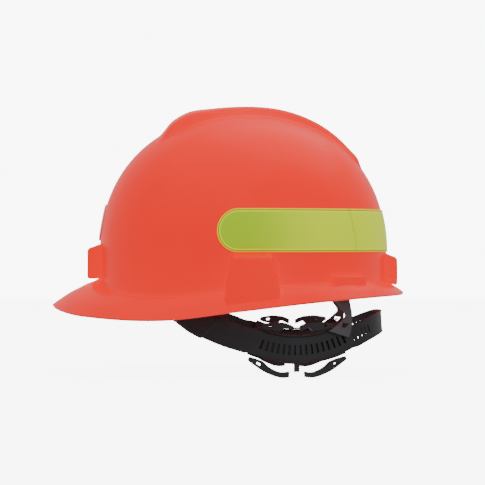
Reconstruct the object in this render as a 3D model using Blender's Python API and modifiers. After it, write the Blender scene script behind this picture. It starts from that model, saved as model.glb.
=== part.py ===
"""Slotted safety helmet for forestry work, with its four-point suspension and squeeze-to-release headband.

Metres, +Z up. The front is -Y and the wearer's left is +X. The origin lies on the helmet's middle plane, under
the middle of the dome, level with the lowest point of the shell's side edge.
"""

import math

import bmesh
import bpy
import numpy as np
from mathutils import Vector

COLLECTION = "forestry_helmet"
MM = 0.001
TOUCH_GAP = 0.35 * MM
MERGE = 0.00005

# Shell: an upright wall that turns into a superellipsoid dome, with a brim all round and a peak in front.
DOME_HALF_WIDTH = 102.0 * MM
DOME_HALF_LENGTH = 117.5 * MM
DOME_CENTRE_Y = -1.5 * MM
DOME_BASE_Z = 50.0 * MM
DOME_HEIGHT = 115.0 * MM
DOME_EXPONENT = 2.2
WALL = 2.5 * MM
SHELL_COLUMNS = 64
DOME_RINGS = (14, 27, 38, 47, 54, 60, 66, 72, 78, 84)
SIDE_BRIM = 12.5 * MM
PEAK_EXTRA = 26.5 * MM
PEAK_SHARPNESS = 3.0
REAR_EXTRA = 1.8 * MM
# Height of the brim's edge, and its rise to the wall, by degrees round from the front, in millimetres.
BRIM_EDGE = ((0, 9.5), (30, 3.0), (62, 0.6), (90, 8.0), (112, 13.7), (180, 19.4))
BRIM_RISE = ((0, 21.5), (40, 20.0), (90, 18.5), (140, 12.0), (180, 8.5))
# Crown ridge: its height above the dome along the helmet, and its half width, in millimetres.
RIDGE_HEIGHT = ((-71, 0.0), (-60, 6.2), (-50, 8.3), (-27, 6.8), (40, 6.7), (71, 5.6), (86, 4.2), (93, 3.6),
                (96, 0.0))
RIDGE_HALF_WIDTH = ((-71, 34.0), (0, 24.0), (93, 13.0))
RIDGE_SIDE_RUN = 9.0

# Accessory lugs on the shell.
END_LUG_HALF_WIDTH = 23.5 * MM
END_LUG_TAPER = 0.93
FRONT_LUG_FACE_Y = -128.0 * MM
REAR_LUG_FACE_Y = 123.8 * MM
# Heights of the end lugs: foot and top at the face, then foot and top at the wall.
FRONT_LUG_Z = (30.5 * MM, 55.0 * MM, 31.0 * MM, 60.0 * MM)
REAR_LUG_Z = (25.5 * MM, 47.5 * MM, 27.0 * MM, 52.5 * MM)
SIDE_LUG_FACE_X = 112.0 * MM
SIDE_LUG_TOP_Y = (-10.4 * MM, 21.3 * MM)
SIDE_LUG_FOOT_Y = (-16.3 * MM, 27.7 * MM)
SIDE_LUG_FACE_FOOT_Z = (11.4 * MM, 16.4 * MM)
SIDE_LUG_WALL_FOOT_Z = (25.0 * MM, 28.0 * MM)
SIDE_LUG_FACE_TOP_Z = 49.0 * MM
SIDE_LUG_WALL_TOP_Z = 53.0 * MM
ACCESSORY_SLOT_X = (104.0 * MM, 109.2 * MM)
ACCESSORY_SLOT_Y = (-8.0 * MM, 19.0 * MM)
ACCESSORY_SLOT_Z = (4.0 * MM, 45.0 * MM)

# Pockets for the four hangers, at the quarters of the shell.
QUARTER_ANGLES = (45.8, 134.2)
POCKET_HALF_WIDTH = 17.0 * MM
POCKET_Z = (23.4 * MM, 33.6 * MM)
POCKET_DEPTH = 7.6 * MM
POCKET_BUMP = 4.5 * MM
TONGUE_HALF_WIDTH = 11.0 * MM
TONGUE_SETBACK = 4.4 * MM
TONGUE_HALF_DEPTH = 1.1 * MM
# Rows down the upper part of a hanger's plate: height and half width, in millimetres.
HANGER_TOP = ((31.0, 11.0), (21.6, 11.0), (20.6, 10.6), (17.6, 10.6), (15.8, 8.0))
HANGER_THICKNESS = 2.0 * MM
# Rows of a front hanger's hook on the band: height and half width, in millimetres.
HANGER_HOOK = ((15.6, 6.0), (19.0, 6.0), (23.0, 4.5))
# Rows of a rear hanger from its neck to its foot on the arm: front and rear edge points (Y, Z), in millimetres.
HANGER_FOOT = ((79.0, 3.6, 84.2, 3.2), (76.0, -1.6, 84.0, -3.0), (70.0, -6.8, 83.4, -9.4),
               (65.4, -9.6, 81.6, -15.0))

# Reflective stripes and badges.
STRIPE_Z = (52.5 * MM, 86.5 * MM)
STRIPE_THICKNESS = 0.7 * MM
STRIPE_FRONT_ANGLE = 80.0
STRIPE_SEAM_ANGLE = 138.0
STRIPE_ROWS = 5
BADGE_RADIUS = 15.0 * MM
BADGE_SIDES = 16
BADGE_THICKNESS = 1.0 * MM
BADGE_CENTRE_Z = 76.5 * MM
LABEL_SIZE = (22.0 * MM, 0.4 * MM, 9.0 * MM)
LABEL_Z = 38.0 * MM

# Headband, in millimetres: the middle line's height along the helmet, and the band's height.
BAND_CENTRE_Y = 8.0 * MM
BAND_HALF_WIDTH = 77.0 * MM
BAND_HALF_LENGTH = 103.0 * MM
BAND_THICKNESS = 1.8 * MM
# Degrees round the band from the front where the front hangers hook over it.
FRONT_HANGER_TURN = 38.5
BAND_MIDDLE = ((-95, 15.0), (-75, 14.5), (-58, 12.5), (-44.6, 2.5), (-25.8, -7.0), (-7, -14.0), (5, -17.4))
BAND_HEIGHT = ((-95, 30.0), (-58, 25.0), (-44, 23.5), (-7, 21.5), (6, 20.0))
REAR_HALF_LENGTH = 105.2 * MM
REAR_EXPONENT = 2.6
ARM_END_Y = 83.0 * MM

# The ladder arms lie on an arc about an axis across the helmet, and the nape strap slides on the same arc.
ARC_CENTRE_Y = 40.6 * MM
ARC_CENTRE_Z = 60.8 * MM
ARC_RADIUS = 85.3 * MM
ARM_HALF_HEIGHT = 10.0 * MM
LADDER_SLOTS = 16
LADDER_PITCH = 2.95
LADDER_SHIFT = 3.4
LADDER_SLOT_SHARE = 0.4
LADDER_SLOT_HALF = 3.8 * MM

NAPE_STRAP_START = -19.0
NAPE_STRAP_HALF_HEIGHT = 8.6 * MM
NAPE_STRAP_THICKNESS = 1.8 * MM
NAPE_TIP_SET_IN = 0.3 * MM
NAPE_REAR_Y = 111.0 * MM
NAPE_STRAP_MIDDLE = ((83, -15.3), (94, -10.8), (104, -6.2), (111, -3.7))
NAPE_ARC_END_Y = 76.0 * MM
NAPE_SLOTS = 5
NAPE_SLOT_PITCH = 3.4

SWEATBAND_PAD = 4.5 * MM
SWEATBAND_SKIN = 1.1 * MM
SWEATBAND_END_Y = -25.0 * MM

# Adjuster frames and their release wings. A wing's rows are degrees from the arc's middle and its edges' radii.
FRAME_HALF_ANGLE = 24.0
FRAME_PLATE = 1.2 * MM
FRAME_POST_HALF_ANGLE = 1.2
# Angle along the arc, from its middle, where the keeper ends and the frame is open to the inside.
KEEPER_END = -16
KEEPER_ROOM = 1.6 * MM
FRAME_POST_LENGTH = 6.0 * MM
WING_OFFSETS = (-4.4 * MM, 3.6 * MM)
UPPER_WING = ((22.5, 70.2, 72.9), (19.0, 67.8, 72.9), (15.0, 65.6, 72.2), (10.5, 64.9, 71.5), (8.0, 64.9, 68.4),
              (5.0, 65.6, 69.2), (2.4, 66.9, 70.3))
LOWER_WING = ((22.5, 98.0, 100.8), (19.0, 97.6, 102.6), (15.5, 98.2, 104.6), (12.0, 101.4, 106.2),
              (7.0, 103.6, 107.4), (3.4, 102.4, 106.6))
WING_ROOT_TURN = 22.0
WING_ROOT_RADII = (71.4, 99.5)

# Crown straps: webbing on an inner ellipsoid, with its ends doubled back through the hangers.
STRAP_HALF_WIDTH = 8.0 * MM
STRAP_THICKNESS = 1.2 * MM
STRAP_APEX_Z = 132.0 * MM
STRAP_CROSSING_GAP = 2.2 * MM
STRAP_EXPONENT = 2.3
STRAP_STEPS = 22

# Plain colours of the pieces.
ORANGE = (0.87, 0.08, 0.025)
LIME = (0.55, 0.70, 0.03)
BLACK = (0.012, 0.012, 0.015)
GREY = (0.06, 0.06, 0.065)
WHITE = (0.75, 0.75, 0.72)


def curve_through(knots, x):
    """Value at x of the smooth cubic curve through the knots, level beyond its ends."""
    xs = np.array([k[0] for k in knots], dtype=float)
    ys = np.array([k[1] for k in knots], dtype=float)
    slopes = np.gradient(ys, xs)
    slopes[0] = 0.0
    slopes[-1] = 0.0
    x = np.clip(np.asarray(x, dtype=float), xs[0], xs[-1])
    i = np.clip(np.searchsorted(xs, x) - 1, 0, len(xs) - 2)
    run = xs[i + 1] - xs[i]
    t = (x - xs[i]) / run
    start = (2 * t**3 - 3 * t**2 + 1) * ys[i] + (t**3 - 2 * t**2 + t) * run * slopes[i]
    end = (3 * t**2 - 2 * t**3) * ys[i + 1] + (t**3 - t**2) * run * slopes[i + 1]
    return start + end


def smooth_step(t):
    """0 below t = 0, 1 above t = 1, and a smooth S between."""
    t = np.clip(t, 0.0, 1.0)
    return t * t * (3 - 2 * t)


def make_material(name, colour, roughness, metallic=0.0):
    """A Principled material of one colour."""
    material = bpy.data.materials.new(name)
    material.use_nodes = True
    shader = material.node_tree.nodes["Principled BSDF"]
    shader.inputs["Base Color"].default_value = (*colour, 1.0)
    shader.inputs["Roughness"].default_value = roughness
    shader.inputs["Metallic"].default_value = metallic
    return material


def make_object(name, vertices, faces, collection, finish, smooth_angle=35.0):
    """An object in the collection from vertices and faces, shaded smooth up to the given angle."""
    mesh = bpy.data.meshes.new(name)
    mesh.from_pydata([tuple(v) for v in vertices], [], [tuple(f) for f in faces])
    mesh.validate()
    mesh.update()
    mesh.shade_smooth()
    mesh.set_sharp_from_angle(angle=math.radians(smooth_angle))
    thing = bpy.data.objects.new(name, mesh)
    collection.objects.link(thing)
    if finish is not None:
        colour, roughness = finish
        mesh.materials.append(make_material(name + "_finish", colour, roughness))
    return thing


def grid_faces(rows, columns, closed=False, holes=()):
    """Quads of a grid of points in row order, without the (row, column) cells in holes."""
    faces = []
    for row in range(rows - 1):
        for column in range(columns if closed else columns - 1):
            if (row, column) not in holes:
                after = (column + 1) % columns
                faces.append((row * columns + column, row * columns + after,
                              (row + 1) * columns + after, (row + 1) * columns + column))
    return faces


def add_solidify(thing, thickness, offset):
    """Give an open surface its thickness."""
    solid = thing.modifiers.new("thickness", "SOLIDIFY")
    solid.thickness = thickness
    solid.offset = offset
    solid.use_rim = True
    return solid


def lofted_solid(name, sections, collection, finish):
    """Closed solid through a list of sections, each a ring of as many points, with flat ends."""
    count = len(sections[0])
    vertices = [point for section in sections for point in section]
    faces = grid_faces(len(sections), count, closed=True)
    faces.append(tuple(range(count))[::-1])
    faces.append(tuple((len(sections) - 1) * count + i for i in range(count)))
    thing = make_object(name, vertices, faces, collection, finish)
    face_out(thing)
    return thing


def face_out(thing):
    """Turn every face of a closed mesh outwards."""
    work = bmesh.new()
    work.from_mesh(thing.data)
    bmesh.ops.recalc_face_normals(work, faces=work.faces)
    work.to_mesh(thing.data)
    work.free()
    thing.data.update()


def block_from_corners(work, foot, top):
    """Add a box to a bmesh whose four foot and four top corners are the given points, in turn round it."""
    doubled_area = sum(foot[i - 1][0] * foot[i][1] - foot[i][0] * foot[i - 1][1] for i in range(4))
    if doubled_area < 0:
        foot = foot[::-1]
        top = top[::-1]
    box = bmesh.ops.create_cube(work, size=2.0)["verts"]
    turn = {(-1, -1): 0, (1, -1): 1, (1, 1): 2, (-1, 1): 3}
    for vertex in box:
        corner = turn[(round(vertex.co.x), round(vertex.co.y))]
        vertex.co = Vector(top[corner] if vertex.co.z > 0 else foot[corner])


def shell_wall(angle, height, inset=0.0):
    """Point of the shell's wall, inset inwards, at degrees round from the front and at a height below the dome."""
    turn = math.radians(angle)
    x = (DOME_HALF_WIDTH - inset) * math.sin(turn)
    y = DOME_CENTRE_Y - (DOME_HALF_LENGTH - inset) * math.cos(turn)
    return Vector((x, y, height))


def wall_at(position, inset, side):
    """Coordinate of the wall, inset inwards, on the line at the given x (for y) or y (for x)."""
    if side == "y":
        share = position / (DOME_HALF_WIDTH - inset)
        return (DOME_HALF_LENGTH - inset) * math.sqrt(1 - share * share)
    share = (position - DOME_CENTRE_Y) / (DOME_HALF_LENGTH - inset)
    return (DOME_HALF_WIDTH - inset) * math.sqrt(1 - share * share)


def wall_frame(angle):
    """Outward normal and rearward tangent of the wall at degrees round from the front."""
    turn = math.radians(angle)
    normal = Vector((math.sin(turn) / DOME_HALF_WIDTH, -math.cos(turn) / DOME_HALF_LENGTH, 0)).normalized()
    tangent = Vector((-normal.y, normal.x, 0))
    return normal, tangent


def dome_profile(rise):
    """Share of the plan outline, and height, at degrees of rise up the dome."""
    turn = math.radians(rise)
    power = 2.0 / DOME_EXPONENT
    return math.cos(turn) ** power, DOME_BASE_Z + DOME_HEIGHT * math.sin(turn) ** power


def dome_share_at(height):
    """Share of the plan outline at a height on the dome."""
    sine = ((height - DOME_BASE_Z) / DOME_HEIGHT) ** (DOME_EXPONENT / 2.0)
    return math.cos(math.asin(sine)) ** (2.0 / DOME_EXPONENT)


def ridge_lift(x, y):
    """Lift of the crown ridge above the dome, full on its top and falling away at its sides."""
    height = curve_through(RIDGE_HEIGHT, y / MM)
    half_width = curve_through(RIDGE_HALF_WIDTH, y / MM)
    return height * MM * (1 - smooth_step((np.abs(x) / MM - half_width) / RIDGE_SIDE_RUN + 0.5))


def shell_rows():
    """Rings of the shell's outer surface, from the brim's edge to just under the apex."""
    angles = np.arange(SHELL_COLUMNS) * 360.0 / SHELL_COLUMNS
    turn = np.radians(angles)
    from_front = 180.0 - np.abs(angles - 180.0)
    edge = curve_through(BRIM_EDGE, from_front) * MM
    rise = curve_through(BRIM_RISE, from_front) * MM
    width = SIDE_BRIM + PEAK_EXTRA * np.clip(np.cos(turn), 0, 1) ** PEAK_SHARPNESS
    width = width + REAR_EXTRA * np.clip(-np.cos(turn), 0, 1)

    def ring(extra, height):
        x = (DOME_HALF_WIDTH + extra) * np.sin(turn)
        y = DOME_CENTRE_Y - (DOME_HALF_LENGTH + extra) * np.cos(turn)
        return np.stack([x, y, height + np.zeros_like(turn)], axis=1)

    root = edge + rise
    rows = [ring(width, edge), ring(width * 0.66, edge + rise * 0.42), ring(width * 0.3, edge + rise * 0.76),
            ring(0.7 * MM, root), ring(0.2 * MM, (root + DOME_BASE_Z) / 2), ring(0.0, DOME_BASE_Z)]
    for degrees in DOME_RINGS:
        share, height = dome_profile(degrees)
        x = DOME_HALF_WIDTH * share * np.sin(turn)
        y = DOME_CENTRE_Y - DOME_HALF_LENGTH * share * np.cos(turn)
        rows.append(np.stack([x, y, height + ridge_lift(x, y)], axis=1))
    return rows


def lug_solids(scratch):
    """The solid lugs and pocket blocks that join the shell, as one scratch object of separate bodies."""
    work = bmesh.new()
    deep = WALL / 2
    half = END_LUG_HALF_WIDTH
    narrow = half * END_LUG_TAPER
    for sign, face_y, heights in ((-1, FRONT_LUG_FACE_Y, FRONT_LUG_Z), (1, REAR_LUG_FACE_Y, REAR_LUG_Z)):
        wall_y = DOME_CENTRE_Y + sign * wall_at(half, deep, "y")
        foot_out, top_out, foot_in, top_in = heights
        foot = [(-half, wall_y, foot_in), (half, wall_y, foot_in),
                (half, face_y, foot_out), (-half, face_y, foot_out)]
        top = [(-narrow, wall_y, top_in), (narrow, wall_y, top_in),
               (narrow, face_y, top_out), (-narrow, face_y, top_out)]
        block_from_corners(work, foot, top)
    for side in (-1, 1):
        rear_wall = wall_at(SIDE_LUG_FOOT_Y[1], deep, "x") * side
        face_x = SIDE_LUG_FACE_X * side
        foot = [(rear_wall, SIDE_LUG_FOOT_Y[0], SIDE_LUG_WALL_FOOT_Z[0]),
                (rear_wall, SIDE_LUG_FOOT_Y[1], SIDE_LUG_WALL_FOOT_Z[1]),
                (face_x, SIDE_LUG_FOOT_Y[1], SIDE_LUG_FACE_FOOT_Z[1]),
                (face_x, SIDE_LUG_FOOT_Y[0], SIDE_LUG_FACE_FOOT_Z[0])]
        top = [(rear_wall, SIDE_LUG_TOP_Y[0], SIDE_LUG_WALL_TOP_Z),
               (rear_wall, SIDE_LUG_TOP_Y[1], SIDE_LUG_WALL_TOP_Z),
               (face_x, SIDE_LUG_TOP_Y[1], SIDE_LUG_FACE_TOP_Z),
               (face_x, SIDE_LUG_TOP_Y[0], SIDE_LUG_FACE_TOP_Z)]
        block_from_corners(work, foot, top)
        for angle in QUARTER_ANGLES:
            bump = POCKET_BUMP if angle > 90 else -deep
            corners = []
            for along, inward in ((-1, True), (1, True), (1, False), (-1, False)):
                normal, tangent = wall_frame(angle)
                spot = shell_wall(angle, 0.0)
                spot = spot + tangent * along * POCKET_HALF_WIDTH
                sag = POCKET_HALF_WIDTH**2 / (2 * DOME_HALF_LENGTH)
                spot = spot + normal * (-WALL - POCKET_DEPTH if inward else bump - (0 if bump > 0 else sag))
                corners.append((spot.x * side, spot.y))
            block_from_corners(work, [(x, y, POCKET_Z[0]) for x, y in corners],
                               [(x, y, POCKET_Z[1]) for x, y in corners])
    return scratch_object("shell_lugs", work, scratch)


def slot_cutters(scratch):
    """Cutters for the accessory slots in the side lugs and for the four hanger pockets."""
    work = bmesh.new()
    for side in (-1, 1):
        xs = [value * side for value in ACCESSORY_SLOT_X]
        corners = [(xs[0], ACCESSORY_SLOT_Y[0]), (xs[1], ACCESSORY_SLOT_Y[0]),
                   (xs[1], ACCESSORY_SLOT_Y[1]), (xs[0], ACCESSORY_SLOT_Y[1])]
        block_from_corners(work, [(x, y, ACCESSORY_SLOT_Z[0]) for x, y in corners],
                           [(x, y, ACCESSORY_SLOT_Z[1]) for x, y in corners])
        for angle in QUARTER_ANGLES:
            normal, tangent = wall_frame(angle)
            middle = shell_wall(angle, 0.0) - normal * (WALL + TONGUE_SETBACK)
            room = TONGUE_HALF_WIDTH + TOUCH_GAP
            corners = []
            for along, outward in ((-1, -1), (1, -1), (1, 1), (-1, 1)):
                spot = middle + tangent * along * room + normal * outward * (TONGUE_HALF_DEPTH + TOUCH_GAP)
                corners.append((spot.x * side, spot.y))
            block_from_corners(work, [(x, y, POCKET_Z[0] - 5 * MM) for x, y in corners],
                               [(x, y, POCKET_Z[1] - 1.5 * MM) for x, y in corners])
    return scratch_object("shell_slots", work, scratch)


def scratch_object(name, work, scratch):
    """Turn a bmesh into a hidden wire object that other pieces are joined with or cut by."""
    mesh = bpy.data.meshes.new(name)
    work.to_mesh(mesh)
    work.free()
    thing = bpy.data.objects.new(name, mesh)
    thing.hide_render = True
    thing.display_type = "WIRE"
    scratch.objects.link(thing)
    return thing


def build_shell(collection, scratch):
    """The moulded shell: dome, crown ridge, brim, peak, lugs, accessory slots and hanger pockets."""
    rows = shell_rows()
    vertices = np.concatenate(rows)
    faces = grid_faces(len(rows), SHELL_COLUMNS, closed=True)
    apex_z = DOME_BASE_Z + DOME_HEIGHT + float(ridge_lift(0.0, DOME_CENTRE_Y))
    vertices = np.vstack([vertices, [0.0, DOME_CENTRE_Y, apex_z]])
    last = (len(rows) - 1) * SHELL_COLUMNS
    for column in range(SHELL_COLUMNS):
        faces.append((last + column, last + (column + 1) % SHELL_COLUMNS, len(vertices) - 1))
    shell = make_object("shell", vertices, faces, collection, (ORANGE, 0.22))
    add_solidify(shell, WALL, -1.0)
    joined = shell.modifiers.new("lugs", "BOOLEAN")
    joined.operation = "UNION"
    joined.object = lug_solids(scratch)
    cut = shell.modifiers.new("slots", "BOOLEAN")
    cut.operation = "DIFFERENCE"
    cut.object = slot_cutters(scratch)
    return shell


def stripe_strip(name, angles, lows, highs, collection):
    """A strip of reflective tape that lies on the dome between two heights at each angle."""
    vertices = []
    for angle, low, high in zip(angles, lows, highs):
        for step in range(STRIPE_ROWS):
            height = low + (high - low) * step / (STRIPE_ROWS - 1)
            share = dome_share_at(height)
            turn = math.radians(angle)
            vertices.append((DOME_HALF_WIDTH * share * math.sin(turn),
                             DOME_CENTRE_Y - DOME_HALF_LENGTH * share * math.cos(turn), height))
    faces = grid_faces(len(angles), STRIPE_ROWS)
    strip = make_object(name, vertices, faces, collection, (LIME, 0.35))
    for vertex in strip.data.vertices:
        spot = vertex.co
        lift = Vector((spot.x / DOME_HALF_WIDTH**2, (spot.y - DOME_CENTRE_Y) / DOME_HALF_LENGTH**2,
                       max(spot.z - DOME_BASE_Z, 0) / DOME_HEIGHT**2)).normalized()
        vertex.co = spot + lift * TOUCH_GAP
    add_solidify(strip, STRIPE_THICKNESS, -1.0)
    return strip


def build_stripes(collection):
    """Two side stripes with round front ends, and one that runs round the rear between slanted seams."""
    low, high = STRIPE_Z
    middle = (low + high) / 2
    radius = (high - low) / 2
    step = 360.0 / SHELL_COLUMNS
    lean = 1.2
    nose = [STRIPE_FRONT_ANGLE + offset for offset in (0.0, 0.7, 2.0, 4.2, 7.0)]
    body = [angle * step for angle in range(math.ceil((STRIPE_FRONT_ANGLE + 9) / step), 25)]
    angles = nose + body + [STRIPE_SEAM_ANGLE]
    per_degree = math.pi * DOME_HALF_LENGTH / 180.0
    halves = []
    for angle in angles:
        run = min((angle - STRIPE_FRONT_ANGLE) * per_degree, radius)
        halves.append(max(math.sqrt(radius**2 - (radius - run) ** 2), 0.25 * radius))
    lows = [middle - half for half in halves]
    highs = [middle + half for half in halves]
    stripe_strip("stripe_left", angles, lows, highs, collection)
    mirrored = [360.0 - angle for angle in angles][::-1]
    stripe_strip("stripe_right", mirrored, lows[::-1], highs[::-1], collection)
    start = STRIPE_SEAM_ANGLE + lean * 0.4
    rear = [start] + [angle * step for angle in range(26, 39)] + [360.0 - start]
    stripe_strip("stripe_rear", rear, [low] * len(rear), [high] * len(rear), collection)


def badge_point(x, up):
    """Point on the brow of the dome, at x across and a height above the badge's middle, just off the surface."""
    z = BADGE_CENTRE_Z + up
    share = dome_share_at(z)
    y = DOME_CENTRE_Y - share * DOME_HALF_LENGTH * math.sqrt(1 - (x / DOME_HALF_WIDTH / share) ** 2)
    return (x, y - TOUCH_GAP - 0.2 * MM, z)


def build_badges(collection):
    """A blank round badge on the brow of the shell and a blank label on the rear lug."""
    vertices = [badge_point(0.0, 0.0)]
    for radius in (BADGE_RADIUS / 2, BADGE_RADIUS):
        for i in range(BADGE_SIDES):
            turn = 2 * math.pi * i / BADGE_SIDES
            vertices.append(badge_point(radius * math.cos(turn), radius * math.sin(turn)))
    faces = []
    for i in range(BADGE_SIDES):
        after = (i + 1) % BADGE_SIDES
        faces.append((0, 1 + i, 1 + after))
        faces.append((1 + i, 1 + i + BADGE_SIDES, 1 + after + BADGE_SIDES, 1 + after))
    badge = make_object("front_badge", vertices, faces, collection, (WHITE, 0.3))
    add_solidify(badge, BADGE_THICKNESS, 1.0)
    label_y = REAR_LUG_FACE_Y + TOUCH_GAP + LABEL_SIZE[1] / 2
    bpy.ops.mesh.primitive_cube_add(size=1.0, location=(0, label_y, LABEL_Z))
    label = bpy.context.object
    label.name = "rear_label"
    label.scale = LABEL_SIZE
    label.data.materials.append(make_material("rear_label_finish", WHITE, 0.4))
    move_to(label, collection)


def move_to(thing, collection):
    """Keep an object in one collection only."""
    for other in list(thing.users_collection):
        other.objects.unlink(thing)
    collection.objects.link(thing)


def arc_point(x, degrees, radius):
    """Point at degrees back from straight down, at a radius from the adjuster arc's axis."""
    turn = math.radians(degrees)
    return (x, ARC_CENTRE_Y + radius * math.sin(turn), ARC_CENTRE_Z - radius * math.cos(turn))


def rear_plan(y, half_width, half_length):
    """Half width at a place along the rear half of the band, whose plan is a superellipse."""
    share = max(y - BAND_CENTRE_Y, 0.0) / half_length
    return half_width * (1 - share**REAR_EXPONENT) ** (1 / REAR_EXPONENT)


def arm_x(y):
    """Half spacing of the ladder arms' middle surfaces at a place along the helmet."""
    return rear_plan(y, BAND_HALF_WIDTH, REAR_HALF_LENGTH)


def band_columns():
    """Lower and upper edge points of the band's left half, from the front middle to the arm's start."""
    columns = []
    for degrees in (0, 12, 24, 34, FRONT_HANGER_TURN, 43, 53, 62, 70, 78, 85):
        turn = math.radians(degrees)
        x = BAND_HALF_WIDTH * math.sin(turn)
        y = BAND_CENTRE_Y - BAND_HALF_LENGTH * math.cos(turn)
        middle = float(curve_through(BAND_MIDDLE, y / MM)) * MM
        half = float(curve_through(BAND_HEIGHT, y / MM)) * MM / 2
        columns.append(((x, y, middle - half), (x, y, middle + half)))
    return columns


def build_headband(collection):
    """One band round the brow with a ladder arm down each side, its slots cut right through."""
    slot_half = LADDER_SLOT_HALF / ARM_HALF_HEIGHT / 2
    rows = (0.0, 0.5 - slot_half, 0.5 + slot_half, 1.0)
    vertices = []
    for low, high in band_columns():
        vertices += [tuple(np.array(low) * (1 - share) + np.array(high) * share) for share in rows]
    first = LADDER_SHIFT - LADDER_PITCH * (LADDER_SLOTS - 1) / 2
    slot = LADDER_PITCH * LADDER_SLOT_SHARE / 2
    slot_edges = [first + LADDER_PITCH * i + edge for i in range(LADDER_SLOTS) for edge in (-slot, slot)]
    rear = math.degrees(math.asin((ARM_END_Y - ARC_CENTRE_Y) / ARC_RADIUS))
    degrees = [first - 5.0, first - 2.4] + slot_edges + [rear - 2.2, rear]
    start = len(vertices) // len(rows)
    for angle in degrees:
        pinch = 0.55 if angle == rear else 0.0
        for share in rows:
            radius = ARC_RADIUS - ARM_HALF_HEIGHT * (2 * share - 1) * (1 - pinch)
            vertices.append(arc_point(arm_x(arc_point(0, angle, ARC_RADIUS)[1]), angle, radius))
    holes = {(start + 2 + 2 * i, 1) for i in range(LADDER_SLOTS)}
    faces = grid_faces(start + len(degrees), len(rows), holes=holes)
    band = make_object("headband", vertices, faces, collection, (BLACK, 0.45))
    mirror = band.modifiers.new("right_half", "MIRROR")
    mirror.merge_threshold = MERGE
    add_solidify(band, BAND_THICKNESS, 0.0)


def build_nape_strap(collection, hinge):
    """The strap that slides inside both arms and runs round the nape, with its slots."""
    start_x = BAND_HALF_WIDTH - (BAND_THICKNESS + NAPE_STRAP_THICKNESS) / 2 - TOUCH_GAP
    length = NAPE_REAR_Y - BAND_CENTRE_Y
    power = 2 / REAR_EXPONENT
    start_y = arc_point(0, NAPE_STRAP_START, ARC_RADIUS)[1]
    first = math.degrees(math.asin(((start_y - BAND_CENTRE_Y) / length) ** (1 / power)))
    slot_turns = [43.0 + NAPE_SLOT_PITCH * i + edge for i in range(NAPE_SLOTS) for edge in (0.0, 1.4)]
    turns = [first, first + 1.2, 5, 8, 12, 16, 20, 24, 28, 32, 36, 40] + slot_turns + [62, 68, 74, 80, 85, 90]
    vertices = []
    for turn in turns:
        angle = math.radians(turn)
        x = start_x * max(math.cos(angle), 0.0) ** power if turn < 90 else 0.0
        y = BAND_CENTRE_Y + length * math.sin(angle) ** power
        on_arc = ARC_CENTRE_Z - math.sqrt(ARC_RADIUS**2 - (y - ARC_CENTRE_Y) ** 2)
        rear = float(curve_through(NAPE_STRAP_MIDDLE, y / MM)) * MM
        middle = on_arc + (rear - on_arc) * float(smooth_step((y - 68 * MM) / (18 * MM)))
        lean = math.asin((min(y, NAPE_ARC_END_Y) - ARC_CENTRE_Y) / ARC_RADIUS)
        lean *= math.cos(math.radians(max(turn - 34, 0) * 90 / 56))
        pinch = 0.6 if turn == first else 1.0
        set_in = NAPE_TIP_SET_IN if turn == first else 0.0
        for share in (-1.0, -0.36, 0.36, 1.0):
            up = NAPE_STRAP_HALF_HEIGHT * share * pinch
            vertices.append((x - set_in, y - up * math.sin(lean), middle + up * math.cos(lean)))
    holes = {(12 + 2 * i, 1) for i in range(NAPE_SLOTS)}
    faces = grid_faces(len(turns), 4, holes=holes)
    strap = make_object("nape_strap", vertices, faces, collection, (BLACK, 0.4))
    mirror = strap.modifiers.new("right_half", "MIRROR")
    mirror.merge_threshold = MERGE
    add_solidify(strap, NAPE_STRAP_THICKNESS, 0.0)
    origin_to(strap, hinge)


def origin_to(thing, spot):
    """Put an object's origin on its joint's axis without moving the piece."""
    for vertex in thing.data.vertices:
        vertex.co = vertex.co - Vector(spot)
    thing.location = spot


def build_sweatband(collection):
    """Padded brow band, folded under the headband and up its outside, lower over the front hangers."""
    last = math.degrees(math.acos((BAND_CENTRE_Y - SWEATBAND_END_Y) / BAND_HALF_LENGTH))
    gap = BAND_THICKNESS / 2 + TOUCH_GAP
    sections = []
    turns = [0, 12, 24, 34, FRONT_HANGER_TURN, 43, 53, 62, last]
    for turn in turns:
        angle = math.radians(turn)
        middle_y = BAND_CENTRE_Y - BAND_HALF_LENGTH * math.cos(angle)
        spot = Vector((BAND_HALF_WIDTH * math.sin(angle), middle_y, 0))
        normal = Vector((math.sin(angle) / BAND_HALF_WIDTH, -math.cos(angle) / BAND_HALF_LENGTH, 0))
        normal.normalize()
        middle = float(curve_through(BAND_MIDDLE, middle_y / MM)) * MM
        half = float(curve_through(BAND_HEIGHT, middle_y / MM)) * MM / 2
        flap = half * (0.92 - 1.15 * math.exp(-((turn - FRONT_HANGER_TURN) / 9.0) ** 2))
        section = []
        for out, up in ((gap, flap), (gap, -half - TOUCH_GAP), (-gap, -half - TOUCH_GAP), (-gap, half * 0.95),
                        (-gap - SWEATBAND_PAD, half * 0.8), (-gap - SWEATBAND_PAD, -half * 0.8),
                        (-gap - 1.5 * MM, -half - TOUCH_GAP - SWEATBAND_SKIN),
                        (gap + SWEATBAND_SKIN, -half - TOUCH_GAP - SWEATBAND_SKIN), (gap + SWEATBAND_SKIN, flap)):
            place = spot + normal * out
            section.append((place.x, place.y, middle + up))
        sections.append(section)
    right = [[(-x, y, z) for x, y, z in section] for section in sections[1:]][::-1]
    lofted_solid("sweatband", right + sections, collection, (BLACK, 0.9))


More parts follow.
